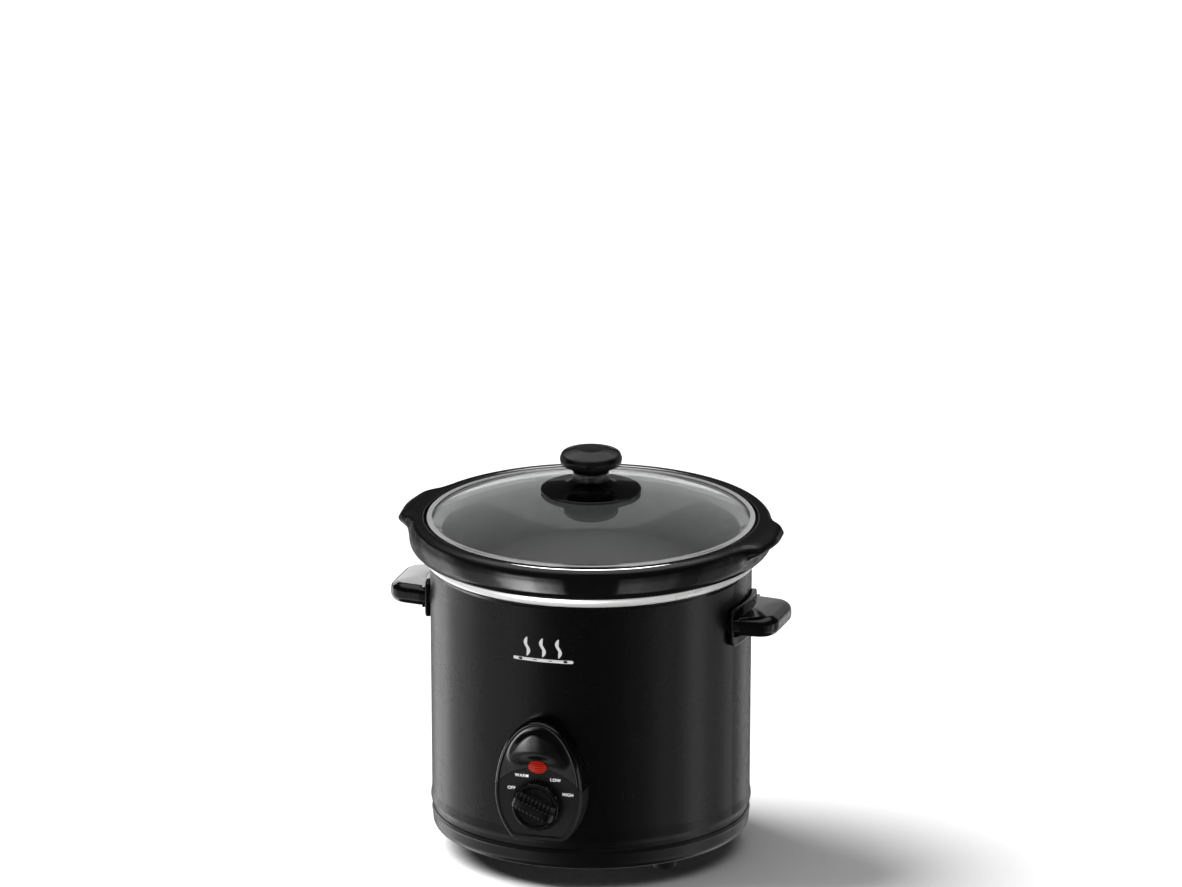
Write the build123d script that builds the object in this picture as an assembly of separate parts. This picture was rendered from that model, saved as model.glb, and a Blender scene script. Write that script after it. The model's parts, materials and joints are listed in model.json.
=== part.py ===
from build123d import *
from math import cos, radians, sin, sqrt, tan
import os

# Round countertop slow cooker. Millimetres, +Z up, origin on the pot's axis at floor level.
# The control panel faces -Y and the two side handles point along +X and -X.

# ---- driving dimensions ----
FEET_HEIGHT = 13.5
TRAY_FLOOR_Z, TRAY_TOP = 16.0, 28.0
SHELL_BOTTOM = 31.5
SHELL_TOP_R, SHELL_BOTTOM_R = 107.5, 106.2  # outer radii of the slightly tapered shell
SHELL_TOP = 196.0  # where the shell starts to turn in under the rim bead
SHEET = 0.8
BEAD_R, BEAD_Z, BEAD_TUBE = 109.3, 202.0, 2.5  # rolled rim: ring radius, height, half thickness
WELL_TOP_R, WELL_FLOOR_R, WELL_FLOOR_Z = 104.5, 96.0, 54.0
CLEARANCE = 0.3  # between pieces that move apart
RIM_TOP = BEAD_Z + BEAD_TUBE

CROCK_HEIGHT = 171.7
CROCK_FLANGE_DROP = 23.5  # crest of the crock down to the flat that sits on the bead
CREST = RIM_TOP + CLEARANCE + CROCK_FLANGE_DROP
CROCK_WALL = 6.5
LUG_REACH, LUG_HALF_WIDTH, LUG_THICK = 131.5, 31.0, 10.5

LID_R, LID_RIM_HEIGHT = 110.1, 5.6
LID_BOTTOM = CREST - 5.8 + CLEARANCE
LID_RIM_TOP = LID_BOTTOM + LID_RIM_HEIGHT
DOME_RISE, DOME_R, GLASS = 20.0, 280.0, 3.2
SKIRT_R, NECK_R, KNOB_HEAD_R, KNOB_RISE = 33.6, 12.3, 20.9, 47.4

HANDLE_Z, HANDLE_PLATE_HEIGHT, HANDLE_HALF_WIDTH = 167.75, 26.5, 28.0
GRIP_TOP, GRIP_THICK, GRIP_REACH, GRIP_CORNER_R = 176.0, 14.0, 135.5, 18.0

POD_FACE_Y = -118.5
POD_BOTTOM, POD_WIDEST, POD_TOP = 37.5, 69.5, 120.5  # heights
POD_HALF_WIDTH, POD_FOOT_HALF = 30.5, 18.5
POD_WALL, BEZEL, FACE_RECESS = 2.5, 3.0, 0.6
SPLIT_R, SPLIT_Z = 39.0, 49.0  # circle that parts the upper cover from the lower one
LENS_Z, LENS_WIDTH, LENS_HEIGHT = 89.0, 13.0, 9.0
DIAL_Z, DIAL_R, DIAL_DEPTH, DIAL_OUT_Y = 62.5, 16.5, 6.4, -133.0
OFF_ANGLE = 67.5  # the pointer's lean to the left of straight up when switched off
DIAL_BACK_Y = POD_FACE_Y - 0.1

FOOT_CIRCLE_R, FOOT_R = 72.5, 9.0
FOOT_ANGLES = {"foot_front_left": -150, "foot_front_right": -30, "foot_rear": 90}
GLAND_Z, GLAND_BORE_R = 50.0, 3.6
LEAD_R = 1.1

parts = {}


# ---- helpers ----
def turned(*corners):
    """Ring or disc about +Z from (radius, height) or (radius, height, fillet) corners."""
    points = [(corner[0], corner[1]) for corner in corners]
    fillets = [corner[2] if len(corner) > 2 else 0 for corner in corners]
    outline = FilletPolyline(*points, radius=fillets, close=True)
    return revolve(Plane.XZ * make_face(outline), Axis.Z)


def facing_front(y):
    """Plane at depth y whose local x is +X, local y is +Z and whose normal is -Y."""
    return Plane(origin=(0, y, 0), x_dir=(1, 0, 0), z_dir=(0, -1, 0))


def rod_to_front(x, z, radius, back_y, front_y):
    """Cylinder along Y from back_y out to front_y."""
    return extrude(facing_front(back_y) * Pos(x, z) * Circle(radius), amount=back_y - front_y)


def block(x, y, z):
    """Box from three (low, high) pairs."""
    middle = [(low + high) / 2 for low, high in (x, y, z)]
    return Pos(*middle) * Box(x[1] - x[0], y[1] - y[0], z[1] - z[0])


def well_outer_radius(z):
    """Outside radius of the tapered heating well at height z."""
    slope = (WELL_TOP_R - WELL_FLOOR_R) / (BEAD_Z - BEAD_TUBE - WELL_FLOOR_Z)
    return WELL_FLOOR_R + SHEET + (z - WELL_FLOOR_Z) * slope


def shell_outer_radius(z):
    """Outside radius of the shell at height z."""
    slope = (SHELL_TOP_R - SHELL_BOTTOM_R) / (SHELL_TOP - SHELL_BOTTOM)
    return SHELL_BOTTOM_R + (z - SHELL_BOTTOM) * slope


def shell_envelope():
    """Solid that fills the shell, for cutting what is fastened against it."""
    gap = 0.05
    flare_r = SHELL_BOTTOM_R + 0.8 + gap
    return turned(
        (0, SHELL_BOTTOM), (flare_r, SHELL_BOTTOM), (flare_r, 36), (SHELL_BOTTOM_R + 3 * gap, 42),
        (SHELL_TOP_R + gap, SHELL_TOP), (0, SHELL_TOP),
    )


def lead(*points):
    """Insulated wire: straight runs joined by the largest tangent arcs that they allow."""
    runs = [Vector(b) - Vector(a) for a, b in zip(points, points[1:])]
    bends = []
    for first, second in zip(runs, runs[1:]):
        half_turn = radians(first.get_angle(second)) / 2
        bends.append(0.45 * min(first.length, second.length) / tan(half_turn))
    print("lead bend radii", [round(bend, 1) for bend in bends])
    path = FilletPolyline(*points, radius=bends)
    section = Plane(origin=points[0], z_dir=runs[0]) * Circle(LEAD_R)
    return sweep(section, path=path)


# ---- base: body ----
def outer_shell():
    """Painted sheet drum with a flared foot, a shoulder tucked under the bead, and its cut-outs."""
    top_r, low_r = SHELL_TOP_R, SHELL_BOTTOM_R
    drum = turned(
        (low_r + 0.4, SHELL_BOTTOM),
        (low_r + 0.8, 35, 1.5),
        (low_r, 41, 4),
        (top_r, SHELL_TOP, 1),
        (top_r + 1.3, 198.2, 1),
        (top_r + 1.3, 202.3),
        (top_r + 0.5, 202.3),
        (top_r + 0.5, 198.6, 1),
        (top_r - SHEET, SHELL_TOP + 0.6, 1),
        (low_r - SHEET, 41, 4),
        (low_r, 35, 1.5),
        (low_r - 0.4, SHELL_BOTTOM),
    )
    switch_window = block((-15, 15), (-120, -90), (DIAL_Z - 15, DIAL_Z + 15))
    lamp_hole = rod_to_front(0, LENS_Z, 7, -90, -120)
    gland_hole = Rot(90, 0, 0) * Cylinder(6.2, 40)
    drum -= switch_window + lamp_hole + Pos(0, 105, GLAND_Z) * gland_hole
    for x, z in HOUSING_SCREWS:
        drum -= rod_to_front(x, z, 1.9, -90, -120)
    for side in (0, 180):
        for turn in HANDLE_SCREW_ANGLES:
            drum -= Rot(0, 0, side + turn) * Pos(105, 0, HANDLE_Z) * Rot(0, 90, 0) * Cylinder(2.2, 12)
    return drum


def heating_well():
    """Pressed aluminium liner whose upper edge steps out and rolls over as the rim bead."""
    ledge = BEAD_Z - BEAD_TUBE

    def on_bead(tube_r, angle):
        return BEAD_R + tube_r * cos(radians(angle)), BEAD_Z + tube_r * sin(radians(angle))

    outer_r, inner_r, curl_end = BEAD_TUBE, BEAD_TUBE - SHEET, -60
    inside = FilletPolyline(
        (0, WELL_FLOOR_Z), (WELL_FLOOR_R, WELL_FLOOR_Z), (WELL_TOP_R, ledge),
        (BEAD_R - outer_r, ledge), on_bead(outer_r, 180),
        radius=[20, 1.5, 0.5],
    )
    outside = FilletPolyline(
        on_bead(inner_r, 180), (BEAD_R - inner_r, ledge - SHEET), (WELL_TOP_R + SHEET, ledge - SHEET),
        (WELL_FLOOR_R + SHEET, WELL_FLOOR_Z - SHEET), (0, WELL_FLOOR_Z - SHEET),
        radius=[0.8, 0.7, 20.8],
    )
    curl_out = ThreePointArc(on_bead(outer_r, 180), on_bead(outer_r, 60), on_bead(outer_r, curl_end))
    curl_in = ThreePointArc(on_bead(inner_r, 180), on_bead(inner_r, 60), on_bead(inner_r, curl_end))
    curl_edge = Line(on_bead(outer_r, curl_end), on_bead(inner_r, curl_end))
    axis_edge = Line((0, WELL_FLOOR_Z), (0, WELL_FLOOR_Z - SHEET))
    section = make_face([inside, curl_out, curl_edge, curl_in, outside, axis_edge])
    return revolve(Plane.XZ * section, Axis.Z)


def base_tray():
    """Moulded pan that closes the drum from below, with a spigot that centres the shell."""
    spigot_r = shell_outer_radius(SHELL_BOTTOM) - SHEET - 0.2
    tray = turned(
        (0, FEET_HEIGHT),
        (105.0, FEET_HEIGHT, 6.5),
        (106.0, TRAY_TOP - 2.6, 0.8),
        (105.6, TRAY_TOP, 0.4),
        (spigot_r, TRAY_TOP),
        (spigot_r, TRAY_TOP + 6),
        (spigot_r - 2, TRAY_TOP + 6),
        (spigot_r - 2, FEET_HEIGHT + 2.5, 4),
        (0, FEET_HEIGHT + 2.5),
    )
    for angle in FOOT_ANGLES.values():
        place = Rot(0, 0, angle) * Pos(FOOT_CIRCLE_R, 0, FEET_HEIGHT)
        tray += place * Cylinder(4.5, 12, align=(Align.CENTER, Align.CENTER, Align.MIN))
        tray -= place * Cylinder(2.05, 30)
    return tray - Pos(0, 0, FEET_HEIGHT) * Cylinder(2.7, 10)


def foot(angle):
    """Tapered rubber foot with a counterbore for its screw."""
    body = turned((2.1, 0, 0.4), (7.6, 0, 0.8), (FOOT_R, FEET_HEIGHT), (2.1, FEET_HEIGHT))
    body -= Cylinder(4.8, 5, align=(Align.CENTER, Align.CENTER, Align.MIN))
    return Rot(0, 0, angle) * Pos(FOOT_CIRCLE_R, 0, 0) * body


def pan_screw(shank_r, length, head_r, head):
    """Cross-head screw pointing up, with the underside of its head at z = 0."""
    shape = turned(
        (0, -head), (head_r, -head, head * 0.45), (head_r, 0), (shank_r, 0), (shank_r, length), (0, length),
    )
    slot = block((-0.4, 0.4), (-head_r * 0.6, head_r * 0.6), (-head - 1, -head * 0.5))
    return shape - slot - Rot(0, 0, 90) * slot


def foot_screws():
    """The three screws that hold the feet to the tray."""
    screw = pan_screw(2.0, 17, 4, 2.4)
    return [Rot(0, 0, angle) * Pos(FOOT_CIRCLE_R, 0, 5) * screw for angle in FOOT_ANGLES.values()]


# ---- base: heating parts ----
BAND_LOW, BAND_HIGH, BAND_THICK = 75.0, 125.0, 1.4
TERMINAL_ANGLES = (-65, -115)


def heater_band():
    """Flat resistance band wrapped round the lower well, open by a few degrees at the back."""
    low, high = well_outer_radius(BAND_LOW) + 0.15, well_outer_radius(BAND_HIGH) + 0.15
    section = Polyline((low, BAND_LOW), (low + BAND_THICK, BAND_LOW), (high + BAND_THICK, BAND_HIGH),
                       (high, BAND_HIGH), close=True)
    return Rot(0, 0, 96) * revolve(Plane.XZ * make_face(section), Axis.Z, revolution_arc=348)


def band_clamp():
    """Spring-steel strap over the band, with two upturned ears and the screw that draws them."""
    z = 103
    inner = well_outer_radius(z + 4) + 0.15 + BAND_THICK + 0.1
    section = Polyline((inner, z - 4), (inner + 0.6, z - 4), (inner + 0.6, z + 4), (inner, z + 4), close=True)
    strap = Rot(0, 0, 92.5) * revolve(Plane.XZ * make_face(section), Axis.Z, revolution_arc=355)
    ears = [block((x - 0.5, x + 0.5), (inner, inner + 3.4), (z - 4, z + 4)) for x in (-4.6, 4.6)]
    bolt = Pos(0, inner + 1.9, z) * Rot(0, 90, 0) * Cylinder(1.2, 12)
    return strap + ears[0] + ears[1] + bolt


def heater_terminals():
    """Two L-shaped tabs that bring the band's ends out."""
    inner = well_outer_radius(80.8) + 0.15 + BAND_THICK + 0.1
    tab = block((inner, inner + 3.6), (-3, 3), (80, 80.8))
    tab += block((inner + 2.8, inner + 3.6), (-3, 3), (73, 80.8))
    return [Rot(0, 0, angle) * tab for angle in TERMINAL_ANGLES]


SHIELD_Z, SHIELD_R = 42.0, 90.0


def heat_shield():
    """Shallow dish of bright sheet that keeps the well's heat off the tray and the wiring."""
    dish = turned(
        (2.8, SHIELD_Z), (SHIELD_R - 3, SHIELD_Z, 2), (SHIELD_R, SHIELD_Z + 5),
        (SHIELD_R - 0.9, SHIELD_Z + 5), (SHIELD_R - 3.5, SHIELD_Z + SHEET, 2), (2.8, SHIELD_Z + SHEET),
    )
    return dish - Pos(*EARTH_POINT, SHIELD_Z) * Cylinder(2.0, 6)


def centre_stud():
    """Stud welded under the well that draws the whole base together."""
    return turned((0, 8.5), (2.5, 8.5, 0.5), (2.5, WELL_FLOOR_Z - SHEET), (0, WELL_FLOOR_Z - SHEET))


def stud_spacers():
    """Tubes on the stud, from the tray up to the shield and from the shield up to the well."""
    floor, top = TRAY_FLOOR_Z, WELL_FLOOR_Z - SHEET
    lower = turned((2.6, floor), (4.5, floor), (4.5, SHIELD_Z), (2.6, SHIELD_Z))
    upper = turned((2.6, SHIELD_Z + SHEET), (4.5, SHIELD_Z + SHEET), (4.5, top), (2.6, top))
    return [lower, upper]


def centre_washer():
    """Plain washer under the tray."""
    return turned((2.6, 12.3), (7, 12.3), (7, FEET_HEIGHT), (2.6, FEET_HEIGHT))


def centre_nut():
    """Hexagon nut under the washer."""
    hexagon = extrude(RegularPolygon(4.6, 6), amount=3.6) - Cylinder(2.55, 20)
    return Pos(0, 0, 8.7) * hexagon


# ---- base: wiring ----
EARTH_POINT = (40, 20)
FUSE_X, FUSE_Z = -25.0, 37.0


def thermal_fuse():
    """One-shot thermal cut-off lying under the shield."""
    return Pos(FUSE_X, 0, FUSE_Z) * Rot(90, 0, 0) * Cylinder(2.5, 18)


def fuse_clip():
    """Clip that holds the cut-off against the shield."""
    clip = block((FUSE_X - 4, FUSE_X + 4), (-3, 3), (FUSE_Z - 3.4, SHIELD_Z))
    return clip - Pos(FUSE_X, 0, FUSE_Z) * Rot(90, 0, 0) * Cylinder(2.6, 20)


def terminal_block():
    """Three-way screw connector on the tray floor, between the two rows of leads."""
    body = block((-15, 15), (32, 48), (TRAY_FLOOR_Z, TRAY_FLOOR_Z + 12))
    for x in (-9, 0, 9):
        body -= Pos(x, 40, 26) * Cylinder(2.3, 8)
    return body


def terminal_screws():
    """Brass clamping screws of the connector."""
    return [Pos(x, 40, 24.5) * Cylinder(2.2, 4.8) for x in (-9, 0, 9)]


def cord_gland():
    """Bushing in the rear of the shell that the mains lead passes through."""
    outer_y, length = 110.0, 14.0
    shoulder = length - 3.6
    body = turned(
        (GLAND_BORE_R, 0), (6.0, 0, 1), (6.0, shoulder), (8.0, shoulder), (7.2, length, 1),
        (GLAND_BORE_R, length, 0.6),
    )
    grip_nut = turned((6.05, 1.0), (8.5, 1.0), (8.5, 6.0), (6.05, 6.0))
    place = Plane(origin=(0, outer_y - length, GLAND_Z), x_dir=(1, 0, 0), z_dir=(0, 1, 0))
    return place * body, place * grip_nut


def earth_screw():
    """Screw and nut that bond the earth lead to the shield."""
    screw = Pos(*EARTH_POINT, 41.9) * pan_screw(1.9, 6, 3.6, 2.4)
    hexagon = extrude(RegularPolygon(3.6, 6), amount=2.6) - Cylinder(1.95, 20)
    nut = Pos(*EARTH_POINT, SHIELD_Z + SHEET + 0.1) * hexagon
    return [screw, nut]


# ---- base: control panel ----
HOUSING_SCREWS = ((-21, 56), (21, 56), (0, 107))


def pod_outline(inset):
    """Egg-shaped face of the panel, drawn smaller all round by inset."""
    half, foot_half = POD_HALF_WIDTH - inset, POD_FOOT_HALF - 0.6 * inset
    top, bottom = POD_TOP - inset, POD_BOTTOM + inset
    crown = EllipticalCenterArc((0, POD_WIDEST), half, top - POD_WIDEST, start_angle=0, arc_size=180)
    right = TangentArc((half, POD_WIDEST), (foot_half, bottom), tangent=(0, -1))
    left = TangentArc((-half, POD_WIDEST), (-foot_half, bottom), tangent=(0, -1))
    base = Line((foot_half, bottom), (-foot_half, bottom))
    face = make_face(crown + right + left + base)
    return fillet(face.vertices().group_by(Axis.Y)[0], 7)


def pod_body():
    """Hollow panel housing before it is parted, with its raised bezel and screw bosses."""
    back_y = -95.0
    outer = extrude(facing_front(back_y) * pod_outline(0), amount=back_y - POD_FACE_Y)
    outer = fillet(outer.faces().sort_by(Axis.Y)[0].edges(), 1.2)
    recess = extrude(facing_front(POD_FACE_Y + FACE_RECESS) * pod_outline(BEZEL), amount=5)
    hollow_front = POD_FACE_Y + POD_WALL
    hollow = extrude(facing_front(back_y) * pod_outline(POD_WALL), amount=back_y - hollow_front)
    body = outer - recess - hollow
    for x, z in HOUSING_SCREWS:
        body += rod_to_front(x, z, 3.6, back_y, hollow_front - 0.5)
        body -= rod_to_front(x, z, 1.55, back_y, hollow_front + 1)
    body -= rod_to_front(0, DIAL_Z, 4.8, back_y, -125)
    oval = Pos(0, LENS_Z) * Ellipse(LENS_WIDTH / 2, LENS_HEIGHT / 2)
    lens = extrude(facing_front(back_y) * oval, amount=30)
    return body - lens - shell_envelope()


def parting_cylinder(radius):
    """Cylinder along Y on the circle where the two covers meet."""
    return rod_to_front(0, SPLIT_Z, radius, -90, -125)


def indicator_lens():
    """Oval window with a shallow dome, pushed in from the front."""
    gap = 0.15
    oval = Ellipse(LENS_WIDTH / 2 - gap, LENS_HEIGHT / 2 - gap)
    slug = extrude(facing_front(-114.5) * Pos(0, LENS_Z) * oval, amount=5.2)
    return fillet(slug.faces().sort_by(Axis.Y)[0].edges(), 0.9)


def neon_lamp():
    """Small neon tube in its sleeve behind the window."""
    return rod_to_front(0, LENS_Z, 3.2, -101.5, -114.3)


def rotary_switch():
    """Switch block with the threaded bushing that carries the spindle."""
    body = block((-13, 13), (-115.9, -100.5), (DIAL_Z - 13, DIAL_Z + 13))
    body += rod_to_front(0, DIAL_Z, 4.5, -115.9, -121.0)
    return body - rod_to_front(0, DIAL_Z, 3.0 + CLEARANCE, -106, -125)


def switch_nut():
    """Thin hexagon nut that holds the bushing to the panel face."""
    nut = extrude(facing_front(-118.0) * Pos(0, DIAL_Z) * RegularPolygon(7.6, 6), amount=2.2)
    return nut - rod_to_front(0, DIAL_Z, 4.55, -110, -125)


SWITCH_TAB_Z = DIAL_Z - 21  # lower end of the switch's tabs


def switch_terminals():
    """Three push-on tabs under the switch."""
    return [block((x - 2.4, x + 2.4), (-104.4, -103.6), (SWITCH_TAB_Z, DIAL_Z - 13)) for x in (-8, 0, 8)]


def housing_screws():
    """Screws driven from inside the drum into the panel's bosses."""
    screws = []
    for x, z in HOUSING_SCREWS:
        seat_y = -sqrt((shell_outer_radius(z) - SHEET) ** 2 - (abs(x) + 3) ** 2) + 0.3
        place = Plane(origin=(x, seat_y, z), x_dir=(1, 0, 0), z_dir=(0, -1, 0))
        screws.append(place * pan_screw(1.5, seat_y + 114.8, 3.0, 1.8))
    return screws


# ---- base: handles ----
HANDLE_SCREW_ANGLES = (-7.5, 7.5)


def side_handle():
    """Tab grip on the +X side with a back plate that hugs the drum."""
    plate_outline = Pos(0, HANDLE_Z) * RectangleRounded(2 * HANDLE_HALF_WIDTH, HANDLE_PLATE_HEIGHT, 5)
    plate = extrude(Plane.YZ.offset(95) * plate_outline, amount=30)
    plate &= Pos(0, 0, HANDLE_Z) * Cylinder(SHELL_TOP_R + 4.8, 60)
    tip, root = HANDLE_HALF_WIDTH - 3, HANDLE_HALF_WIDTH
    outline = FilletPolyline(
        (96, -root), (111, -root), (GRIP_REACH, -tip), (GRIP_REACH, tip), (111, root), (96, root),
        radius=[0, 3, GRIP_CORNER_R, GRIP_CORNER_R, 3, 0], close=True,
    )
    grip = extrude(Pos(0, 0, GRIP_TOP - GRIP_THICK) * make_face(outline), amount=GRIP_THICK)
    grip = fillet(grip.edges().group_by(Axis.Z)[0] + grip.edges().group_by(Axis.Z)[-1], 4)
    handle = plate + grip - shell_envelope()
    for turn in HANDLE_SCREW_ANGLES:
        handle -= Rot(0, 0, turn) * Pos(115, 0, HANDLE_Z) * Rot(0, 90, 0) * Cylinder(1.9, 18)
    return handle


def handle_screws():
    """Two screws for each handle, driven outward from inside the drum."""
    seat_r = shell_outer_radius(HANDLE_Z) - SHEET - 0.15
    screw = Pos(seat_r, 0, HANDLE_Z) * Rot(0, 90, 0) * pan_screw(1.85, 16, 3.4, 1.9)
    return [Rot(0, 0, side + turn) * screw for side in (0, 180) for turn in HANDLE_SCREW_ANGLES]


# ---- control dial ----
def control_dial():
    """Round dial with a raised ribbed grip bar that points at OFF, hollow behind."""
    total = DIAL_BACK_Y - DIAL_OUT_Y
    disc = turned((0, 0), (DIAL_R, 0), (DIAL_R - 0.4, DIAL_DEPTH, 1.6), (0, DIAL_DEPTH))
    bar = block((-7, 7), (-DIAL_R, DIAL_R), (1, total))
    bar = fillet(bar.faces().sort_by(Axis.Z)[-1].edges(), 1.5) & Cylinder(DIAL_R - 0.6, 60)
    knob = disc + bar
    for step in range(-5, 6):
        for side in (-1, 1):
            knob -= Pos(side * 7.2, step * 2.2, DIAL_DEPTH + 5) * Cylinder(0.6, 9.6)
    knob -= Cylinder(9.5, 2 * 3.6) + Cylinder(3.05, 2 * 11)
    place = Plane(origin=(0, DIAL_BACK_Y, DIAL_Z), x_dir=(1, 0, 0), z_dir=(0, -1, 0))
    return place * Rot(0, 0, OFF_ANGLE) * knob


def switch_spindle():
    """Round spindle from the switch into the dial."""
    return rod_to_front(0, DIAL_Z, 3.0, -106.5, DIAL_BACK_Y - 10.8)


# ---- crock ----
def crock_profile():
    """Wall section of the crock as closed curves, in radius and height."""
    z = CREST
    bottom = z - CROCK_HEIGHT
    floor = bottom + 8
    outer_low_r, slope = 78.2, 0.148
    return [
        (0, bottom), (outer_low_r, bottom, 29),
        (outer_low_r + slope * (CROCK_HEIGHT - 38.5), z - 38.5), (98.0, z - 37, 0.8), (98.2, z - 26, 0.8),
        (104.5, z - 25.2, 0.8), (106, z - CROCK_FLANGE_DROP, 0.8), (113, z - CROCK_FLANGE_DROP, 1.5),
        (121.3, z - 17.0, 4), (122.0, z - 5.0, 6), (118.5, z, 3.5),
        (112.3, z, 0.8), (111.0, z - 5.8, 0.4), (103, z - 5.8, 2),
        (98.5, z - 9, 3), (91.6, z - 38, 8),
        (outer_low_r - CROCK_WALL, floor, 24), (0, floor),
    ]


def crock():
    """Glazed stoneware pot with a broad flange, an inner lid ledge and two lifting lugs."""
    pot = turned(*crock_profile())
    half = LUG_HALF_WIDTH
    outline = FilletPolyline(
        (100, -47), (113, -47), (119, -half - 2), (LUG_REACH, -half + 2),
        (LUG_REACH, half - 2), (119, half + 2), (113, 47), (100, 47),
        radius=[0, 6, 9, 12, 12, 9, 6, 0], close=True,
    )
    lug = extrude(Pos(0, 0, CREST - 0.3 - LUG_THICK) * make_face(outline), amount=LUG_THICK)
    lug = fillet(lug.edges().group_by(Axis.Z)[0] + lug.edges().group_by(Axis.Z)[-1], 4)
    lug -= Pos(0, 0, CREST) * Cylinder(116, 60)
    return pot + lug + Rot(0, 0, 180) * lug


# ---- lid ----
DOME_CENTRE_Z = LID_RIM_TOP + DOME_RISE - DOME_R


def dome_z(radius, thickness=0.0):
    """Height of the dome's outer face at a radius, or of a face that much further in."""
    return DOME_CENTRE_Z + sqrt((DOME_R - thickness) ** 2 - radius**2)


def lid_glass():
    """Domed tempered glass with a centre hole for the knob's screw."""
    edge_r, hole_r = 107.4, 4.0
    outer = [(radius, dome_z(radius)) for radius in (hole_r, 60, edge_r)]
    inner = [(radius, dome_z(radius, GLASS)) for radius in (edge_r, 60, hole_r)]
    arcs = [ThreePointArc(*outer), Line(outer[-1], inner[0]), ThreePointArc(*inner), Line(inner[-1], outer[0])]
    return revolve(Plane.XZ * make_face(arcs), Axis.Z)


def lid_rim():
    """Stainless band folded over the edge of the glass."""
    low, high = LID_BOTTOM, LID_RIM_TOP
    wall, upper_lip, lower_lip = 1.4, 0.9, 0.6
    return turned(
        (105.6, low), (LID_R, low, 1.0), (LID_R, high, 1.0), (106.6, high), (106.6, high - upper_lip),
        (LID_R - wall, high - upper_lip), (LID_R - wall, low + lower_lip), (105.6, low + lower_lip),
    )


def lid_knob_skirt():
    """Flared guard under the knob that keeps fingers off the hot glass."""
    top = LID_RIM_TOP
    return turned(
        (2.7, top + 22.0), (NECK_R - 1, top + 21.4), (SKIRT_R - 2, top + 18.7),
        (SKIRT_R, top + 18.3, 0.4), (SKIRT_R, top + 19.6, 0.8), (NECK_R + 4, top + 23.2, 6),
        (NECK_R + 0.6, top + 25.5), (2.7, top + 25.5),
    )


def knob_gasket():
    """Silicone ring between the guard and the glass."""
    low, high = dome_z(0) + 0.02, LID_RIM_TOP + 21.4
    return turned((4.2, low), (10, low), (10, high), (4.2, high))


def lid_knob():
    """Mushroom knob: round neck, overhanging head and a low domed top."""
    top = LID_RIM_TOP
    crown = top + KNOB_RISE
    return turned(
        (2.6, top + 25.6), (NECK_R, top + 25.6), (NECK_R, top + 34.5, 4), (KNOB_HEAD_R, top + 37.0, 2.5),
        (KNOB_HEAD_R - 0.8, crown - 3.2, 3), (8, crown - 0.2, 20), (0, crown), (0, top + 42), (2.6, top + 42),
    )


def lid_knob_washer():
    """Wide washer under the glass."""
    seat = dome_z(0, GLASS) - 0.25
    return turned((2.7, seat - 1.2), (9, seat - 1.2), (9, seat), (2.7, seat))


def lid_knob_screw():
    """Screw that clamps the knob, guard and gasket to the glass."""
    seat = dome_z(0, GLASS) - 0.25 - 1.25
    return Pos(0, 0, seat) * pan_screw(2.5, LID_RIM_TOP + 41 - seat, 4.6, 2.6)


# ---- assembly ----
parts["outer_shell"] = outer_shell()
parts["heating_well"] = heating_well()
parts["base_tray"] = base_tray()
for name, angle in FOOT_ANGLES.items():
    parts[name] = foot(angle)
parts["foot_screws"] = foot_screws()
parts["heater_band"] = heater_band()
parts["heater_band_clamp"] = band_clamp()
parts["heater_terminals"] = heater_terminals()
parts["heat_shield"] = heat_shield()
parts["centre_stud"] = centre_stud()
parts["stud_spacers"] = stud_spacers()
parts["centre_washer"] = centre_washer()
parts["centre_nut"] = centre_nut()
parts["thermal_fuse"] = thermal_fuse()
parts["fuse_clip"] = fuse_clip()
parts["terminal_block"] = terminal_block()
parts["terminal_screws"] = terminal_screws()
parts["cord_gland"], parts["cord_gland_nut"] = cord_gland()
parts["earth_screw"] = earth_screw()

pod = pod_body()
parts["control_cover_upper"] = pod - parting_cylinder(SPLIT_R + 0.3)
parts["control_cover_lower"] = pod & parting_cylinder(SPLIT_R)
parts["indicator_lens"] = indicator_lens()
parts["neon_lamp"] = neon_lamp()
parts["rotary_switch"] = rotary_switch()
parts["switch_nut"] = switch_nut()
parts["switch_terminals"] = switch_terminals()
parts["control_cover_screws"] = housing_screws()

parts["handle_right"] = side_handle()
parts["handle_left"] = Rot(0, 0, 180) * side_handle()
parts["handle_screws"] = handle_screws()

parts["control_dial"] = control_dial()
parts["switch_spindle"] = switch_spindle()
parts["crock"] = crock()
parts["lid_glass"] = lid_glass()
parts["lid_rim"] = lid_rim()
parts["lid_knob_skirt"] = lid_knob_skirt()
parts["lid_knob_gasket"] = knob_gasket()
parts["lid_knob"] = lid_knob()
parts["lid_knob_washer"] = lid_knob_washer()
parts["lid_knob_screw"] = lid_knob_screw()

parts["live_lead"] = lead((-9, 31.8, 22), (-10, 26, 22), (-17, 20, 27), (-24, 16, 35), (FUSE_X, 9.7, FUSE_Z))
parts["switch_lead"] = lead((FUSE_X, -9.7, FUSE_Z), (-24, -22, 34), (-16, -52, 27), (-4, -82, 26),
                            (0, -98, 29), (0, -103.4, SWITCH_TAB_Z - 0.6))
parts["neutral_lead"] = lead((9, 31.8, 22), (12, 20, 22), (26, -14, 22), (36, -50, 22), (40, -76, 25),
                             (43, -91, 36), (43.4, -92.8, 52), (43.2, -92.6, 72.8))
parts["heater_lead"] = lead((-8, -104, SWITCH_TAB_Z - 0.6), (-12, -98.5, 32), (-24, -92, 26), (-36, -90, 31),
                            (-42.4, -91.8, 46), (-43.2, -92.6, 72.8))
parts["earth_lead"] = lead((15.2, 40, 22), (24, 38, 22), (33, 31, 25), (39, 22, 31), (*EARTH_POINT, 39.3))

os.makedirs("parts", exist_ok=True)
for name, shape in parts.items():
    solid = Compound(children=shape) if isinstance(shape, list) else shape
    export_step(solid, f"parts/{name}.step")
print(len(parts), "nodes written")
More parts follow.
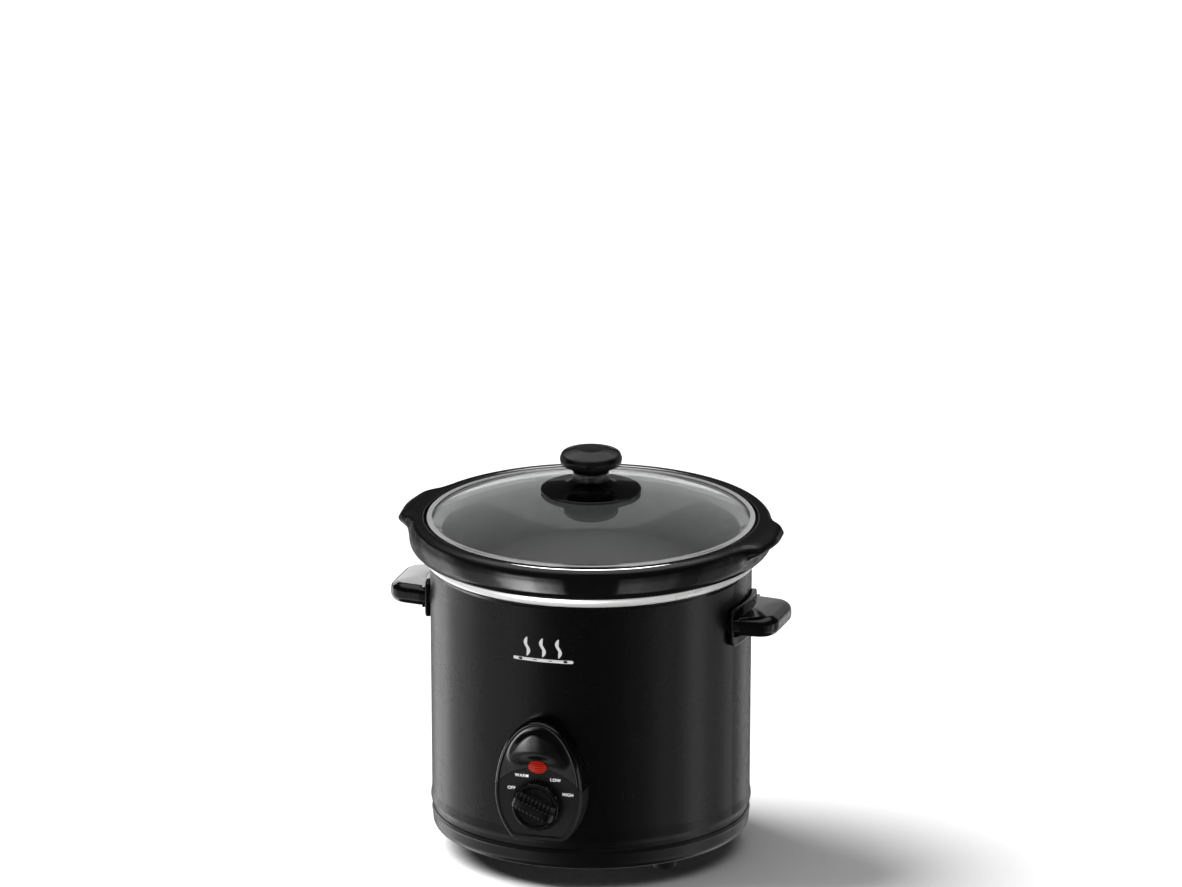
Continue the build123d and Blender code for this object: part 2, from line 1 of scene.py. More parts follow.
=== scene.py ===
"""Looks of a round countertop slow cooker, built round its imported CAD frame.

Every length inside the classes is in millimetres, in the CAD frame: +Z up, origin on the pot's axis at the
level of the surface it stands on, panel facing -Y. Meshes are turned to metres when they are written.
"""

from __future__ import annotations

import json
import logging
import math
from dataclasses import dataclass, field
from enum import Enum

import bpy
import numpy as np
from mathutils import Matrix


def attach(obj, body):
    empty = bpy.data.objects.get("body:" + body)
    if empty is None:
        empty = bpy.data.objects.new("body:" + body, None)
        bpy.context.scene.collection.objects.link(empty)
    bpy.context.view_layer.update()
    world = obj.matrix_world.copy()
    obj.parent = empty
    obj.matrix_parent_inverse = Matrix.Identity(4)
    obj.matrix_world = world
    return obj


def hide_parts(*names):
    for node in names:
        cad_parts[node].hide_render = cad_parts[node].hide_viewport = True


MM = 0.001
SHARP_ANGLE = math.radians(38)
COAT_ROUGHNESS = 0.04
DRIFT_SPAN = 1 / 28.0  # metres over which a finish's gloss wanders
CAPITAL_SIZE = 1.42  # font size over the height of its capitals
EDGE_RUN = 0.35  # how far from an arc a straight run gets its extra point, at most
log = logging.getLogger("slow_cooker")

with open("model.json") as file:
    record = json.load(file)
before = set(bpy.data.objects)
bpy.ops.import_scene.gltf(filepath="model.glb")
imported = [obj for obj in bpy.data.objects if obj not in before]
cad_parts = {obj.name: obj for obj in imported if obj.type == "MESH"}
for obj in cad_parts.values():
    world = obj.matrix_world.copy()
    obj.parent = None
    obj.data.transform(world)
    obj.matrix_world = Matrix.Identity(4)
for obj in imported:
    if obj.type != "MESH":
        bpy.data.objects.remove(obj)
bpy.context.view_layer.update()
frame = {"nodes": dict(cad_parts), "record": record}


class Body(Enum):
    """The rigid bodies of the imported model."""

    BASE = "base"
    DIAL = "dial"
    CROCK = "crock"
    LID = "lid"


class Side(Enum):
    """Which side handle: the sign is that of its X."""

    RIGHT = 1
    LEFT = -1


# ---------------------------------------------------------------- surfaces


@dataclass
class Shape:
    """Vertices in millimetres and faces that point outwards, as plain arrays.

    Attributes:
        points: One row of x, y, z per vertex.
        quads: Four vertex numbers per face, or no rows.
        tris: Three vertex numbers per face, or no rows.
    """

    points: np.ndarray
    quads: np.ndarray
    tris: np.ndarray

    def __add__(self, other: Shape) -> Shape:
        """Both shapes as one, side by side in the arrays."""
        shift = len(self.points)
        return Shape(
            np.vstack([self.points, other.points]),
            np.vstack([self.quads, other.quads + shift]),
            np.vstack([self.tris, other.tris + shift]),
        )

    def placed(self, turn: np.ndarray | None = None, shift: tuple[float, float, float] = (0, 0, 0)) -> Shape:
        """The shape turned by a 3x3 matrix and then shifted.

        Args:
            turn: Rotation matrix, or None for no turn.
            shift: Millimetres along X, Y and Z.

        Returns:
            A new shape.
        """
        points = self.points if turn is None else self.points @ np.asarray(turn, float).T
        return Shape(points + np.array(shift, float), self.quads, self.tris)

    def volume(self) -> float:
        """Signed volume: the sum of the tetrahedra from the origin to each triangle.

        Returns:
            Cubic millimetres, negative where the faces look inwards.
        """
        tris = np.vstack([self.quads[:, [0, 1, 2]], self.quads[:, [0, 2, 3]], self.tris])
        a, b, c = (self.points[tris[:, corner]] for corner in range(3))
        return float(np.einsum("ij,ij->i", a, np.cross(b, c)).sum() / 6)

    def outward(self) -> Shape:
        """The shape with every face reversed if it was inside out."""
        if self.volume() >= 0:
            return self
        return Shape(self.points, self.quads[:, ::-1], self.tris[:, ::-1])

    def mesh(self, name: str) -> bpy.types.Mesh:
        """A smooth Blender mesh in metres, with edges sharper than SHARP_ANGLE kept crisp.

        Args:
            name: Name of the new mesh.

        Returns:
            The mesh.
        """
        data = bpy.data.meshes.new(name)
        data.from_pydata((self.points * MM).tolist(), [], self.quads.tolist() + self.tris.tolist())
        data.update()
        data.shade_smooth()
        data.set_sharp_from_angle(angle=SHARP_ANGLE)
        return data


def rounded(
    corners: list[tuple[float, float, float]], closed: bool = True, arc_steps: int = 8, run: float = 8.0
) -> np.ndarray:
    """Points along straight runs joined by tangent arcs.

    A corner with fillet f and interior angle 2h has its arc's centre on the bisector, f / sin h away, and the
    arc starts f / tan h before the corner. Each run gets a point close to both ends, so that smooth shading
    stays flat on it.

    Args:
        corners: (a, b, fillet) in order.
        closed: Whether the last corner joins the first.
        arc_steps: Steps along each arc.
        run: Longest step along a straight run.

    Returns:
        Array of (a, b) points; a closed outline doesn't repeat its first point.
    """
    spots = np.array([corner[:2] for corner in corners], float)
    count = len(spots)
    arcs = []
    for index, (spot, corner) in enumerate(zip(spots, corners)):
        is_end = not closed and index in (0, count - 1)
        if is_end or corner[2] == 0:
            arcs.append(spot[None])
            continue
        back, ahead = spots[index - 1] - spot, spots[(index + 1) % count] - spot
        back_length, ahead_length = np.linalg.norm(back), np.linalg.norm(ahead)
        back, ahead = back / back_length, ahead / ahead_length
        half = math.acos(float(np.clip(back @ ahead, -1, 1))) / 2
        reach = min(corner[2] / math.tan(half), 0.49 * back_length, 0.49 * ahead_length)
        radius = reach * math.tan(half)
        bisector = (back + ahead) / np.linalg.norm(back + ahead)
        centre = spot + bisector * radius / math.sin(half)
        first, last = spot + back * reach - centre, spot + ahead * reach - centre
        start = math.atan2(first[1], first[0])
        sweep = (math.atan2(last[1], last[0]) - start + math.pi) % (2 * math.pi) - math.pi
        angles = start + sweep * np.linspace(0, 1, arc_steps + 1)
        arcs.append(centre + radius * np.column_stack([np.cos(angles), np.sin(angles)]))
    path = []
    for index, arc in enumerate(arcs):
        path.append(arc)
        if not closed and index == count - 1:
            break
        gap = arcs[(index + 1) % count][0] - arc[-1]
        length = float(np.linalg.norm(gap))
        if length < 1e-6:
            continue
        edge = min(EDGE_RUN, 0.2 * length) / length
        between = np.linspace(0, 1, max(2, math.ceil(length / run)) + 1)[1:-1]
        steps = np.unique(np.concatenate([[edge], between, [1 - edge]]))
        path.append(arc[-1] + steps[:, None] * gap)
    return np.concatenate(path)


def arc(centre: tuple[float, float], radius: float, start: float, end: float, steps: int = 24) -> np.ndarray:
    """Points on a circle: centre + radius (cos t, sin t), with t in degrees from start to end."""
    angles = np.radians(np.linspace(start, end, steps + 1))
    return np.array(centre) + radius * np.column_stack([np.cos(angles), np.sin(angles)])


def skin(grid: np.ndarray, wrap_rows: bool, poles: tuple[np.ndarray, np.ndarray] | None = None) -> Shape:
    """Faces over a grid of points whose columns close on themselves.

    Args:
        grid: rows x columns x 3.
        wrap_rows: Whether the last row joins the first, as on a ring.
        poles: Points that close the first and the last row, or None.

    Returns:
        The shape, facing outwards.
    """
    rows, columns = grid.shape[:2]
    numbers = np.arange(rows * columns).reshape(rows, columns)
    across = np.roll(numbers, -1, axis=1)
    low, high = (numbers, np.roll(numbers, -1, axis=0)) if wrap_rows else (numbers[:-1], numbers[1:])
    low_next, high_next = (across, np.roll(across, -1, axis=0)) if wrap_rows else (across[:-1], across[1:])
    quads = np.stack([low, low_next, high_next, high], axis=-1).reshape(-1, 4)
    points, tris = grid.reshape(-1, 3), np.zeros((0, 3), int)
    if poles is not None:
        first, last = len(points), len(points) + 1
        points = np.vstack([points, poles[0], poles[1]])
        start = np.column_stack([np.full(columns, first), across[0], numbers[0]])
        end = np.column_stack([np.full(columns, last), numbers[-1], across[-1]])
        tris = np.vstack([start, end])
    return Shape(points, quads, tris).outward()


def revolve(radii: np.ndarray, heights: np.ndarray, angles: np.ndarray) -> np.ndarray:
    """Grid of points r cos t, r sin t, z, one row per height and one column per angle."""
    spread = np.broadcast_to(heights, (len(heights), len(angles)))
    return np.stack([radii * np.cos(angles), radii * np.sin(angles), spread], axis=-1)


def axis_ends(profile: np.ndarray) -> tuple[np.ndarray, np.ndarray]:
    """The two points of the axis where a path of (r, z) starts and ends."""
    return np.array([0, 0, profile[0, 1]]), np.array([0, 0, profile[-1, 1]])


def lathe(profile: np.ndarray, segments: int = 192) -> Shape:
    """Surface of revolution: (r, z) becomes (r cos t, r sin t, z) for t round the circle.

    Args:
        profile: Closed ring section, or a path whose two ends lie on the axis.
        segments: Steps round the circle.

    Returns:
        The closed shape.
    """
    angles = np.linspace(0, 2 * math.pi, segments, endpoint=False)
    on_axis = profile[0, 0] < 1e-6 and profile[-1, 0] < 1e-6
    rows = profile[1:-1] if on_axis else profile
    grid = revolve(rows[:, :1], rows[:, 1:], angles)
    return skin(grid, wrap_rows=not on_axis, poles=axis_ends(profile) if on_axis else None)


def inset_loop(outline: np.ndarray, inset: float) -> np.ndarray:
    """The closed outline moved inwards along its normals by inset.

    The normal is the central difference of the neighbours turned by a right angle.

    Args:
        outline: Closed anticlockwise loop.
        inset: Distance inwards.

    Returns:
        The moved loop.
    """
    along = np.roll(outline, -1, axis=0) - np.roll(outline, 1, axis=0)
    along /= np.linalg.norm(along, axis=1, keepdims=True)
    inward = np.column_stack([-along[:, 1], along[:, 0]])
    return outline + inward * inset


def lifted(outline: np.ndarray, height: float) -> np.ndarray:
    """The flat outline as rows of a, b, height."""
    return np.column_stack([outline, np.full(len(outline), height)])


def crowned_face(loop: np.ndarray, lift: float, rings: int) -> tuple[list[np.ndarray], np.ndarray]:
    """Rings that shrink from a loop to its middle and rise by lift (1 - s^2) at fraction s of the loop.

    Args:
        loop: Rows of a, b, height.
        lift: How far the middle stands proud.
        rings: Rings between the loop and its middle.

    Returns:
        The rings from the outside in, and the middle point.
    """
    middle = loop.mean(axis=0)
    scales = np.linspace(1, 0, rings + 1)[1:-1]
    shrunk = [middle + (loop - middle) * s + np.array([0, 0, lift * (1 - s**2)]) for s in scales]
    return shrunk, middle + np.array([0, 0, lift])


def slab(outline: np.ndarray, section: np.ndarray, crown: float = 0.0, rings: int = 6) -> Shape:
    """Solid on a closed anticlockwise outline, with an edge section carried round it.

    Each row of the section, (inset, height), gives one loop. The first and last loops shrink to their middles
    in rings, where a point at fraction s of its loop stands crown (1 - s^2) proud.

    Args:
        outline: Closed loop of (a, b).
        section: (inset, height) rows from the lower face to the upper face.
        crown: How far the middle of both faces stands proud.
        rings: Rings between a face's edge and its middle.

    Returns:
        The shape in a, b, height axes.
    """
    loops = [lifted(inset_loop(outline, inset), height) for inset, height in section]
    lower, low_pole = crowned_face(loops[0], -crown, rings)
    upper, high_pole = crowned_face(loops[-1], crown, rings)
    grid = np.array(lower[::-1] + loops + upper)
    return skin(grid, wrap_rows=False, poles=(low_pole, high_pole))


def edge_section(low: float, high: float, radius: float, steps: int = 8) -> np.ndarray:
    """Section of a slab from height low to high with both edges rounded by quarter circles of that radius."""
    turn = np.radians(np.linspace(0, 90, steps + 1))
    lower = np.column_stack([radius * (1 - np.sin(turn)), low + radius * (1 - np.cos(turn))])
    upper = np.column_stack([radius * (1 - np.cos(turn)), high - radius * (1 - np.sin(turn))])
    middle = np.array([[0.0, low + radius + 0.3], [0.0, high - radius - 0.3]])
    return np.vstack([lower, middle, upper])


FRONT = np.array([[1, 0, 0], [0, 0, -1], [0, 1, 0]], float)  # (a, b, out) to (x, z up, towards -Y)


def smoothstep(values: np.ndarray) -> np.ndarray:
    """Eased 0 to 1: 3 t^2 - 2 t^3 with t held between 0 and 1."""
    held = np.clip(values, 0, 1)
    return held * held * (3 - 2 * held)


# ---------------------------------------------------------------- finishes


def linear(code: str) -> tuple[float, float, float, float]:
    """sRGB hex such as '#1a1a1c' as a linear colour with alpha 1."""
    channels = [int(code[at : at + 2], 16) / 255 for at in (1, 3, 5)]
    return (*(c / 12.92 if c <= 0.04045 else ((c + 0.055) / 1.055) ** 2.4 for c in channels), 1.0)


def add_node(
    tree: bpy.types.NodeTree,
    kind: str,
    values: dict | None = None,
    links: dict | None = None,
    **settings: object,
) -> bpy.types.Node:
    """Adds a node with its settings, socket values and incoming links.

    Args:
        tree: Node tree that gets it.
        kind: Node type's identifier.
        values: Socket name to constant value.
        links: Socket name to the output socket that feeds it.
        settings: Properties of the node itself.

    Returns:
        The node.
    """
    node = tree.nodes.new(kind)
    for name, value in settings.items():
        setattr(node, name, value)
    for name, value in (values or {}).items():
        node.inputs[name].default_value = value
    for name, socket in (links or {}).items():
        tree.links.new(socket, node.inputs[name])
    return node


@dataclass(frozen=True)
class Finish:
    """A surface finish with one relief pattern and a slow drift in its gloss.

    Attributes:
        name: Common name of the material and how its surface was made.
        colour: sRGB hex of the base colour.
        roughness: Microfacet roughness.
        metallic: 1 for bare metal.
        grain_mm: Distance between the relief's bumps.
        depth_mm: Height of the relief.
        drift: How far the roughness wanders over a few centimetres.
        coat: Weight of a clear top layer.
        ior: Index of refraction.
        stretch: Scale of the pattern along X, Y and Z, which draws it out into lines where it is uneven.
    """

    name: str
    colour: str
    roughness: float
    metallic: float = 0.0
    grain_mm: float = 1.0
    depth_mm: float = 0.01
    drift: float = 0.04
    coat: float = 0.0
    ior: float = 1.5
    stretch: tuple[float, float, float] = (1.0, 1.0, 1.0)

    def build(self) -> bpy.types.Material:
        """Makes the material, or returns the one that was made before.

        Returns:
            The material.
        """
        if self.name in bpy.data.materials:
            return bpy.data.materials[self.name]
        material = bpy.data.materials.new(self.name)
        material.use_nodes = True
        tree = material.node_tree
        shader = tree.nodes["Principled BSDF"]
        constants = {
            "Base Color": linear(self.colour), "Metallic": self.metallic, "Roughness": self.roughness,
            "IOR": self.ior, "Coat Weight": self.coat, "Coat Roughness": COAT_ROUGHNESS,
        }
        for socket, value in constants.items():
            shader.inputs[socket].default_value = value
        self.dress(tree, shader)
        return material

    def dress(self, tree: bpy.types.NodeTree, shader: bpy.types.Node) -> None:
        """Adds the relief and the gloss drift.

        Args:
            tree: The material's nodes.
            shader: Its Principled BSDF.
        """
        place = add_node(tree, "ShaderNodeTexCoord").outputs["Object"]
        mapped = add_node(tree, "ShaderNodeMapping", {"Scale": self.stretch}, {"Vector": place})
        grain = add_node(
            tree, "ShaderNodeTexNoise", {"Scale": 1 / (self.grain_mm * MM), "Detail": 2.0},
            {"Vector": mapped.outputs["Vector"]},
        )
        bump = add_node(
            tree, "ShaderNodeBump", {"Strength": 1.0, "Distance": self.depth_mm * MM},
            {"Height": grain.outputs["Fac"]},
        )
        tree.links.new(bump.outputs["Normal"], shader.inputs["Normal"])
        cloud = add_node(
            tree, "ShaderNodeTexNoise", {"Scale": 1 / DRIFT_SPAN, "Detail": 3.0}, {"Vector": place}
        )
        low, high = max(self.roughness - self.drift, 0.0), self.roughness + self.drift
        gloss = add_node(
            tree, "ShaderNodeMapRange", {"From Min": 0.3, "From Max": 0.7, "To Min": low, "To Max": high},
            {"Value": cloud.outputs["Fac"]},
        )
        tree.links.new(gloss.outputs["Result"], shader.inputs["Roughness"])


@dataclass(frozen=True)
class ClearGlass(Finish):
    """Tempered soda-lime glass: clear all through, with the slow ripple that tempering leaves."""

    def dress(self, tree: bpy.types.NodeTree, shader: bpy.types.Node) -> None:
        """Makes the shader transmit."""
        super().dress(tree, shader)
        shader.inputs["Transmission Weight"].default_value = 1.0


@dataclass(frozen=True)
class RibbedLens(Finish):
    """Red polystyrene window with fine ribs moulded behind a smooth face."""

    rib_mm: float = 1.5

    def dress(self, tree: bpy.types.NodeTree, shader: bpy.types.Node) -> None:
        """Bands the red across the ribs, lets a little light through it and gives it a faint painted glow.

        Args:
            tree: The material's nodes.
            shader: Its Principled BSDF.
        """
        super().dress(tree, shader)
        place = add_node(tree, "ShaderNodeTexCoord").outputs["Object"]
        ribs = add_node(
            tree, "ShaderNodeTexWave", {"Scale": 0.314 / (self.rib_mm * MM), "Distortion": 0.6},
            {"Vector": place}, bands_direction="Z",
        )
        ramp = add_node(tree, "ShaderNodeValToRGB", links={"Fac": ribs.outputs["Fac"]})
        ramp.color_ramp.elements[0].color = linear("#7d0f06")
        ramp.color_ramp.elements[1].color = linear("#c42d18")
        tree.links.new(ramp.outputs["Color"], shader.inputs["Base Color"])
        # Painted glow: a faint emission in the ribs' red brightens the window as if lit from behind.
        tree.links.new(ramp.outputs["Color"], shader.inputs["Emission Color"])
        shader.inputs["Emission Strength"].default_value = 0.05
        shader.inputs["Subsurface Weight"].default_value = 0.3
        shader.inputs["Subsurface Scale"].default_value = 0.002


# Baked enamel on steel sheet: satin, with a faint orange peel.
SHELL_PAINT = Finish("baked_satin_paint", "#070708", 0.27, grain_mm=1.6, depth_mm=0.003, drift=0.02)
# Stoneware under a thick black glaze: wet gloss over a slow waviness from the firing.
GLAZE = Finish("black_glazed_stoneware", "#040404", 0.07, grain_mm=22, depth_mm=0.12, drift=0.02, coat=0.6)
# Pressed aluminium sheet, etched and anodised: soft white-grey sheen with faint drawing lines round it.
WELL_SHEET = Finish(
    "anodised_aluminium_sheet", "#e6e6e4", 0.45, 0.3, grain_mm=60, depth_mm=0.015, stretch=(1, 1, 60)
)
# The same sheet polished by the rim roller.
BEAD_SHEET = Finish(
    "rolled_aluminium_bead", "#e9e9e8", 0.3, 0.5, grain_mm=40, depth_mm=0.01, stretch=(1, 1, 30)
)
# Compression-moulded phenolic, buffed: deep black with a clean shine.
PHENOLIC = Finish("buffed_phenolic", "#060606", 0.13, grain_mm=3, depth_mm=0.006, drift=0.03, coat=0.3)
# Glass-filled moulding of the tray: low sheen with a fine pebble from the spark-eroded tool.
TRAY_PLASTIC = Finish("satin_moulded_pp", "#0a0a0b", 0.3, grain_mm=0.7, depth_mm=0.02, drift=0.04)
# Polished-tool ABS of the upper cover.
GLOSS_ABS = Finish("polished_abs", "#050505", 0.1, grain_mm=9, depth_mm=0.01, drift=0.02, coat=0.4)
# Textured-tool ABS of the lower cover: matte dark grey.
SATIN_ABS = Finish("textured_abs", "#1d1d1f", 0.5, grain_mm=0.5, depth_mm=0.02, drift=0.05)
DIAL_ABS = Finish("moulded_dial_abs", "#08080a", 0.24, grain_mm=1.2, depth_mm=0.008, drift=0.05)
# Polished stainless strip, rolled: bright, with hairlines along the strip.
STAINLESS = Finish(
    "rolled_stainless_strip", "#c9c9c8", 0.16, 1.0, grain_mm=30, depth_mm=0.012, stretch=(1, 1, 90)
)
LID_GLASS = ClearGlass("tempered_glass", "#fbfdfc", 0.0, grain_mm=60, depth_mm=0.02, drift=0.0, ior=1.46)
LENS = RibbedLens("red_polystyrene_lens", "#a82818", 0.12, grain_mm=2, depth_mm=0.006)
RUBBER = Finish("moulded_rubber", "#121212", 0.7, grain_mm=0.6, depth_mm=0.03)
# Pad-printed ink: flat white, slightly broken by the pad.
INK = Finish("pad_printed_ink", "#f2f2f0", 0.6, grain_mm=0.3, depth_mm=0.006)
# Silver pad print: fine aluminium flake in lacquer.
SILVER_INK = Finish("silver_pad_print", "#c4c4c4", 0.45, 0.3, grain_mm=0.25, depth_mm=0.004)
ZINC = Finish("zinc_plated_steel", "#a9acab", 0.34, 1.0, grain_mm=0.8, depth_mm=0.01)
BRASS = Finish("plain_brass", "#c9a252", 0.3, 1.0, grain_mm=0.8, depth_mm=0.008)
MICA = Finish("mica_band", "#9a8b6c", 0.6, grain_mm=2, depth_mm=0.05)
CERAMIC = Finish("unglazed_ceramic", "#d8d4c8", 0.6, grain_mm=0.6, depth_mm=0.02)
CREAM_NYLON = Finish("cream_nylon", "#cfc8b4", 0.5, grain_mm=0.6, depth_mm=0.01)
SILICONE = Finish("grey_silicone", "#8c8c8c", 0.5, grain_mm=0.8, depth_mm=0.01)
BROWN_LEAD = Finish("brown_silicone_sleeve", "#4a2c1a", 0.5, grain_mm=0.6, depth_mm=0.01)
BLUE_LEAD = Finish("blue_silicone_sleeve", "#1f3f8c", 0.5, grain_mm=0.6, depth_mm=0.01)
GREEN_LEAD = Finish("green_silicone_sleeve", "#3f8c2a", 0.5, grain_mm=0.6, depth_mm=0.01)

SLOT_FINISH = {
    "painted_shell": SHELL_PAINT, "bright_aluminium": WELL_SHEET, "black_phenolic": TRAY_PLASTIC,
    "foot_rubber": RUBBER, "zinc_steel": ZINC, "handle_phenolic": PHENOLIC, "mica_band": MICA, "brass": BRASS,
    "ceramic_body": CERAMIC, "switch_plastic": CREAM_NYLON, "lead_brown": BROWN_LEAD, "lead_blue": BLUE_LEAD,
    "lead_green": GREEN_LEAD, "gloss_black_abs": GLOSS_ABS, "satin_black_abs": SATIN_ABS, "red_lens": LENS,
    "lamp_glass": LID_GLASS, "dial_abs": DIAL_ABS, "black_stoneware": GLAZE, "lid_glass": LID_GLASS,
    "stainless_rim": STAINLESS, "knob_phenolic": PHENOLIC, "silicone": SILICONE,
}


def in_scene(name: str, data: bpy.types.ID) -> bpy.types.Object:
    """A new object on that mesh, camera, lamp or text, linked into the scene."""
    made = bpy.data.objects.new(name, data)
    bpy.context.scene.collection.objects.link(made)
    return made


def finish_cad_nodes() -> None:
    """Gives every CAD node the finish of its record slot."""
    for part in frame["record"]["subparts"]:
        node = frame["nodes"][part["node"]]
        material = SLOT_FINISH[part["material_slot"]].build()
        node.data.materials.clear()
        node.data.materials.append(material)
        log.info("finish %s on %s", material.name, part["node"])


def add_piece(
    name: str, mesh: bpy.types.Mesh, body: Body, finish: Finish, nodes: tuple[str, ...] = ()
) -> bpy.types.Object:
    """Puts a mesh in the scene as a piece of the object.

    Args:
        name: Piece name.
        mesh: Its mesh, already in place.
        body: The body that carries it.
        finish: Its finish.
        nodes: CAD nodes that it stands for.

    Returns:
        The new object.
    """
    piece = in_scene(name, mesh)
    mesh.materials.clear()
    mesh.materials.append(finish.build())
    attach(piece, body.value)
    if nodes:
        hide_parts(*nodes)
    log.info("piece %s: %d faces on %s", name, len(mesh.polygons), body.value)
    return piece


# ---------------------------------------------------------------- base


@dataclass
class Drum:
    """Painted shell, heating well with its bead, tray and feet."""

    shell_bottom: float = 31.5
    shell_bottom_r: float = 106.2
    shell_top: float = 196.0
    shell_top_r: float = 107.5
    sheet: float = 0.8
    bead_r: float = 109.3
    bead_z: float = 202.0
    bead_tube: float = 2.5
    well_top_r: float = 104.5
    well_floor_r: float = 96.0
    well_floor: float = 54.0
    tray_top: float = 28.0
    tray_bottom: float = 13.5
    foot_circle: float = 72.5
    foot_angles: dict[str, float] = field(
        default_factory=lambda: {"foot_front_left": -150.0, "foot_front_right": -30.0, "foot_rear": 90.0}
    )

    def radius(self, z: float | np.ndarray) -> float | np.ndarray:
        """Outside radius of the shell, which tapers evenly from top to bottom."""
        share = (z - self.shell_bottom) / (self.shell_top - self.shell_bottom)
        return self.shell_bottom_r + share * (self.shell_top_r - self.shell_bottom_r)

    def shell(self) -> Shape:
        """Ring section of the sheet: plain wall, flared foot, shoulder tucked under the bead.

        Returns:
            The closed ring.
        """
        low_r, top_r, sheet = self.shell_bottom_r, self.shell_top_r, self.sheet
        section = rounded([
            (low_r + 0.2, self.shell_bottom, 0.2), (low_r + 0.8, 34.6, 1.6), (low_r + 0.02, 40.5, 3),
            (top_r, self.shell_top, 1), (top_r + 1.3, 198.2, 1), (top_r + 1.3, 201.0, 0),
            (top_r + 0.5, 201.0, 0), (top_r + 0.5, 198.6, 0.6), (top_r - sheet, self.shell_top + 0.6, 1),
            (low_r - sheet, 40.5, 3), (low_r, 34.6, 1.2), (low_r - 0.5, self.shell_bottom, 0.2),
        ])
        return lathe(section, 256)

    def well(self) -> Shape:
        """Liner: flat floor, rounded corner, drafted wall and the ledge below the bead.

        Returns:
            The closed liner.
        """
        ledge, sheet = self.bead_z - self.bead_tube, self.sheet
        inner_r = self.bead_r - self.bead_tube
        section = rounded([
            (0, self.well_floor, 0), (52, self.well_floor, 2), (55, self.well_floor + 1.2, 2),
            (self.well_floor_r, self.well_floor + 1.2, 19), (self.well_top_r, ledge, 1.6),
            (inner_r + 0.3, ledge, 0.5), (inner_r + 0.3, ledge + 1.6, 0),
            (inner_r + 1.1, ledge + 1.6, 0), (inner_r + 1.1, ledge - sheet, 0.8),
            (self.well_top_r + sheet, ledge - sheet, 0.7),
            (self.well_floor_r + sheet, self.well_floor - sheet, 20), (0, self.well_floor - sheet, 0),
        ], closed=False, arc_steps=14)
        return lathe(section, 256)

    def bead(self) -> Shape:
        """Rolled rim: a tube whose section is a circle."""
        section = arc((self.bead_r, self.bead_z), self.bead_tube, 0, 345, 23)
        return lathe(section, 256)

    def tray(self) -> Shape:
        """Pan with a ledge at its top, a rounded lower edge and a spigot inside the shell.

        Returns:
            The closed pan.
        """
        floor, top = self.tray_bottom, self.tray_top
        spigot = self.shell_bottom_r - self.sheet - 0.3
        section = rounded([
            (0, floor, 0), (62, floor, 1), (63.5, floor + 0.8, 1), (84, floor + 0.8, 1), (85.5, floor, 1),
            (105.0, floor, 6.5), (106.0, top - 3.4, 0.5), (106.3, top - 2.6, 0.4), (105.6, top, 0.5),
            (spigot, top, 0.3), (spigot, top + 6, 0.5), (spigot - 2, top + 6, 0.5),
            (spigot - 2, floor + 2.5, 4), (0, floor + 2.5, 0),
        ], closed=False)
        return lathe(section, 256)

    def foot(self, angle: float) -> Shape:
        """Tapered foot with a counterbore below.

        Args:
            angle: Degrees round the axis from +X.

        Returns:
            The foot in place.
        """
        section = rounded([
            (2.1, 5, 0), (4.8, 5, 0.2), (4.8, 0, 0.4), (7.6, 0, 1.0), (8.3, 5.5, 0.6), (8.9, 6.2, 0.6),
            (9.0, self.tray_bottom, 0), (2.1, self.tray_bottom, 0),
        ], run=3)
        turn = math.radians(angle)
        place = (self.foot_circle * math.cos(turn), self.foot_circle * math.sin(turn), 0.0)
        return lathe(section, 64).placed(shift=place)

    def build(self) -> None:
        """Adds the base's round pieces."""
        for name, shape, finish, slot, node in (
            ("shell_skin", self.shell(), SHELL_PAINT, "painted_shell", "outer_shell"),
            ("well_liner", self.well(), WELL_SHEET, "bright_aluminium", "heating_well"),
            ("rim_bead", self.bead(), BEAD_SHEET, "bright_aluminium", "heating_well"),
            ("tray_skin", self.tray(), TRAY_PLASTIC, "black_phenolic", "base_tray"),
        ):
            add_piece(name, shape.mesh(name), Body.BASE, finish, (node,))
        for name, angle in self.foot_angles.items():
            label = f"{name}_pad"
            add_piece(label, self.foot(angle).mesh(label), Body.BASE, RUBBER, (name,))


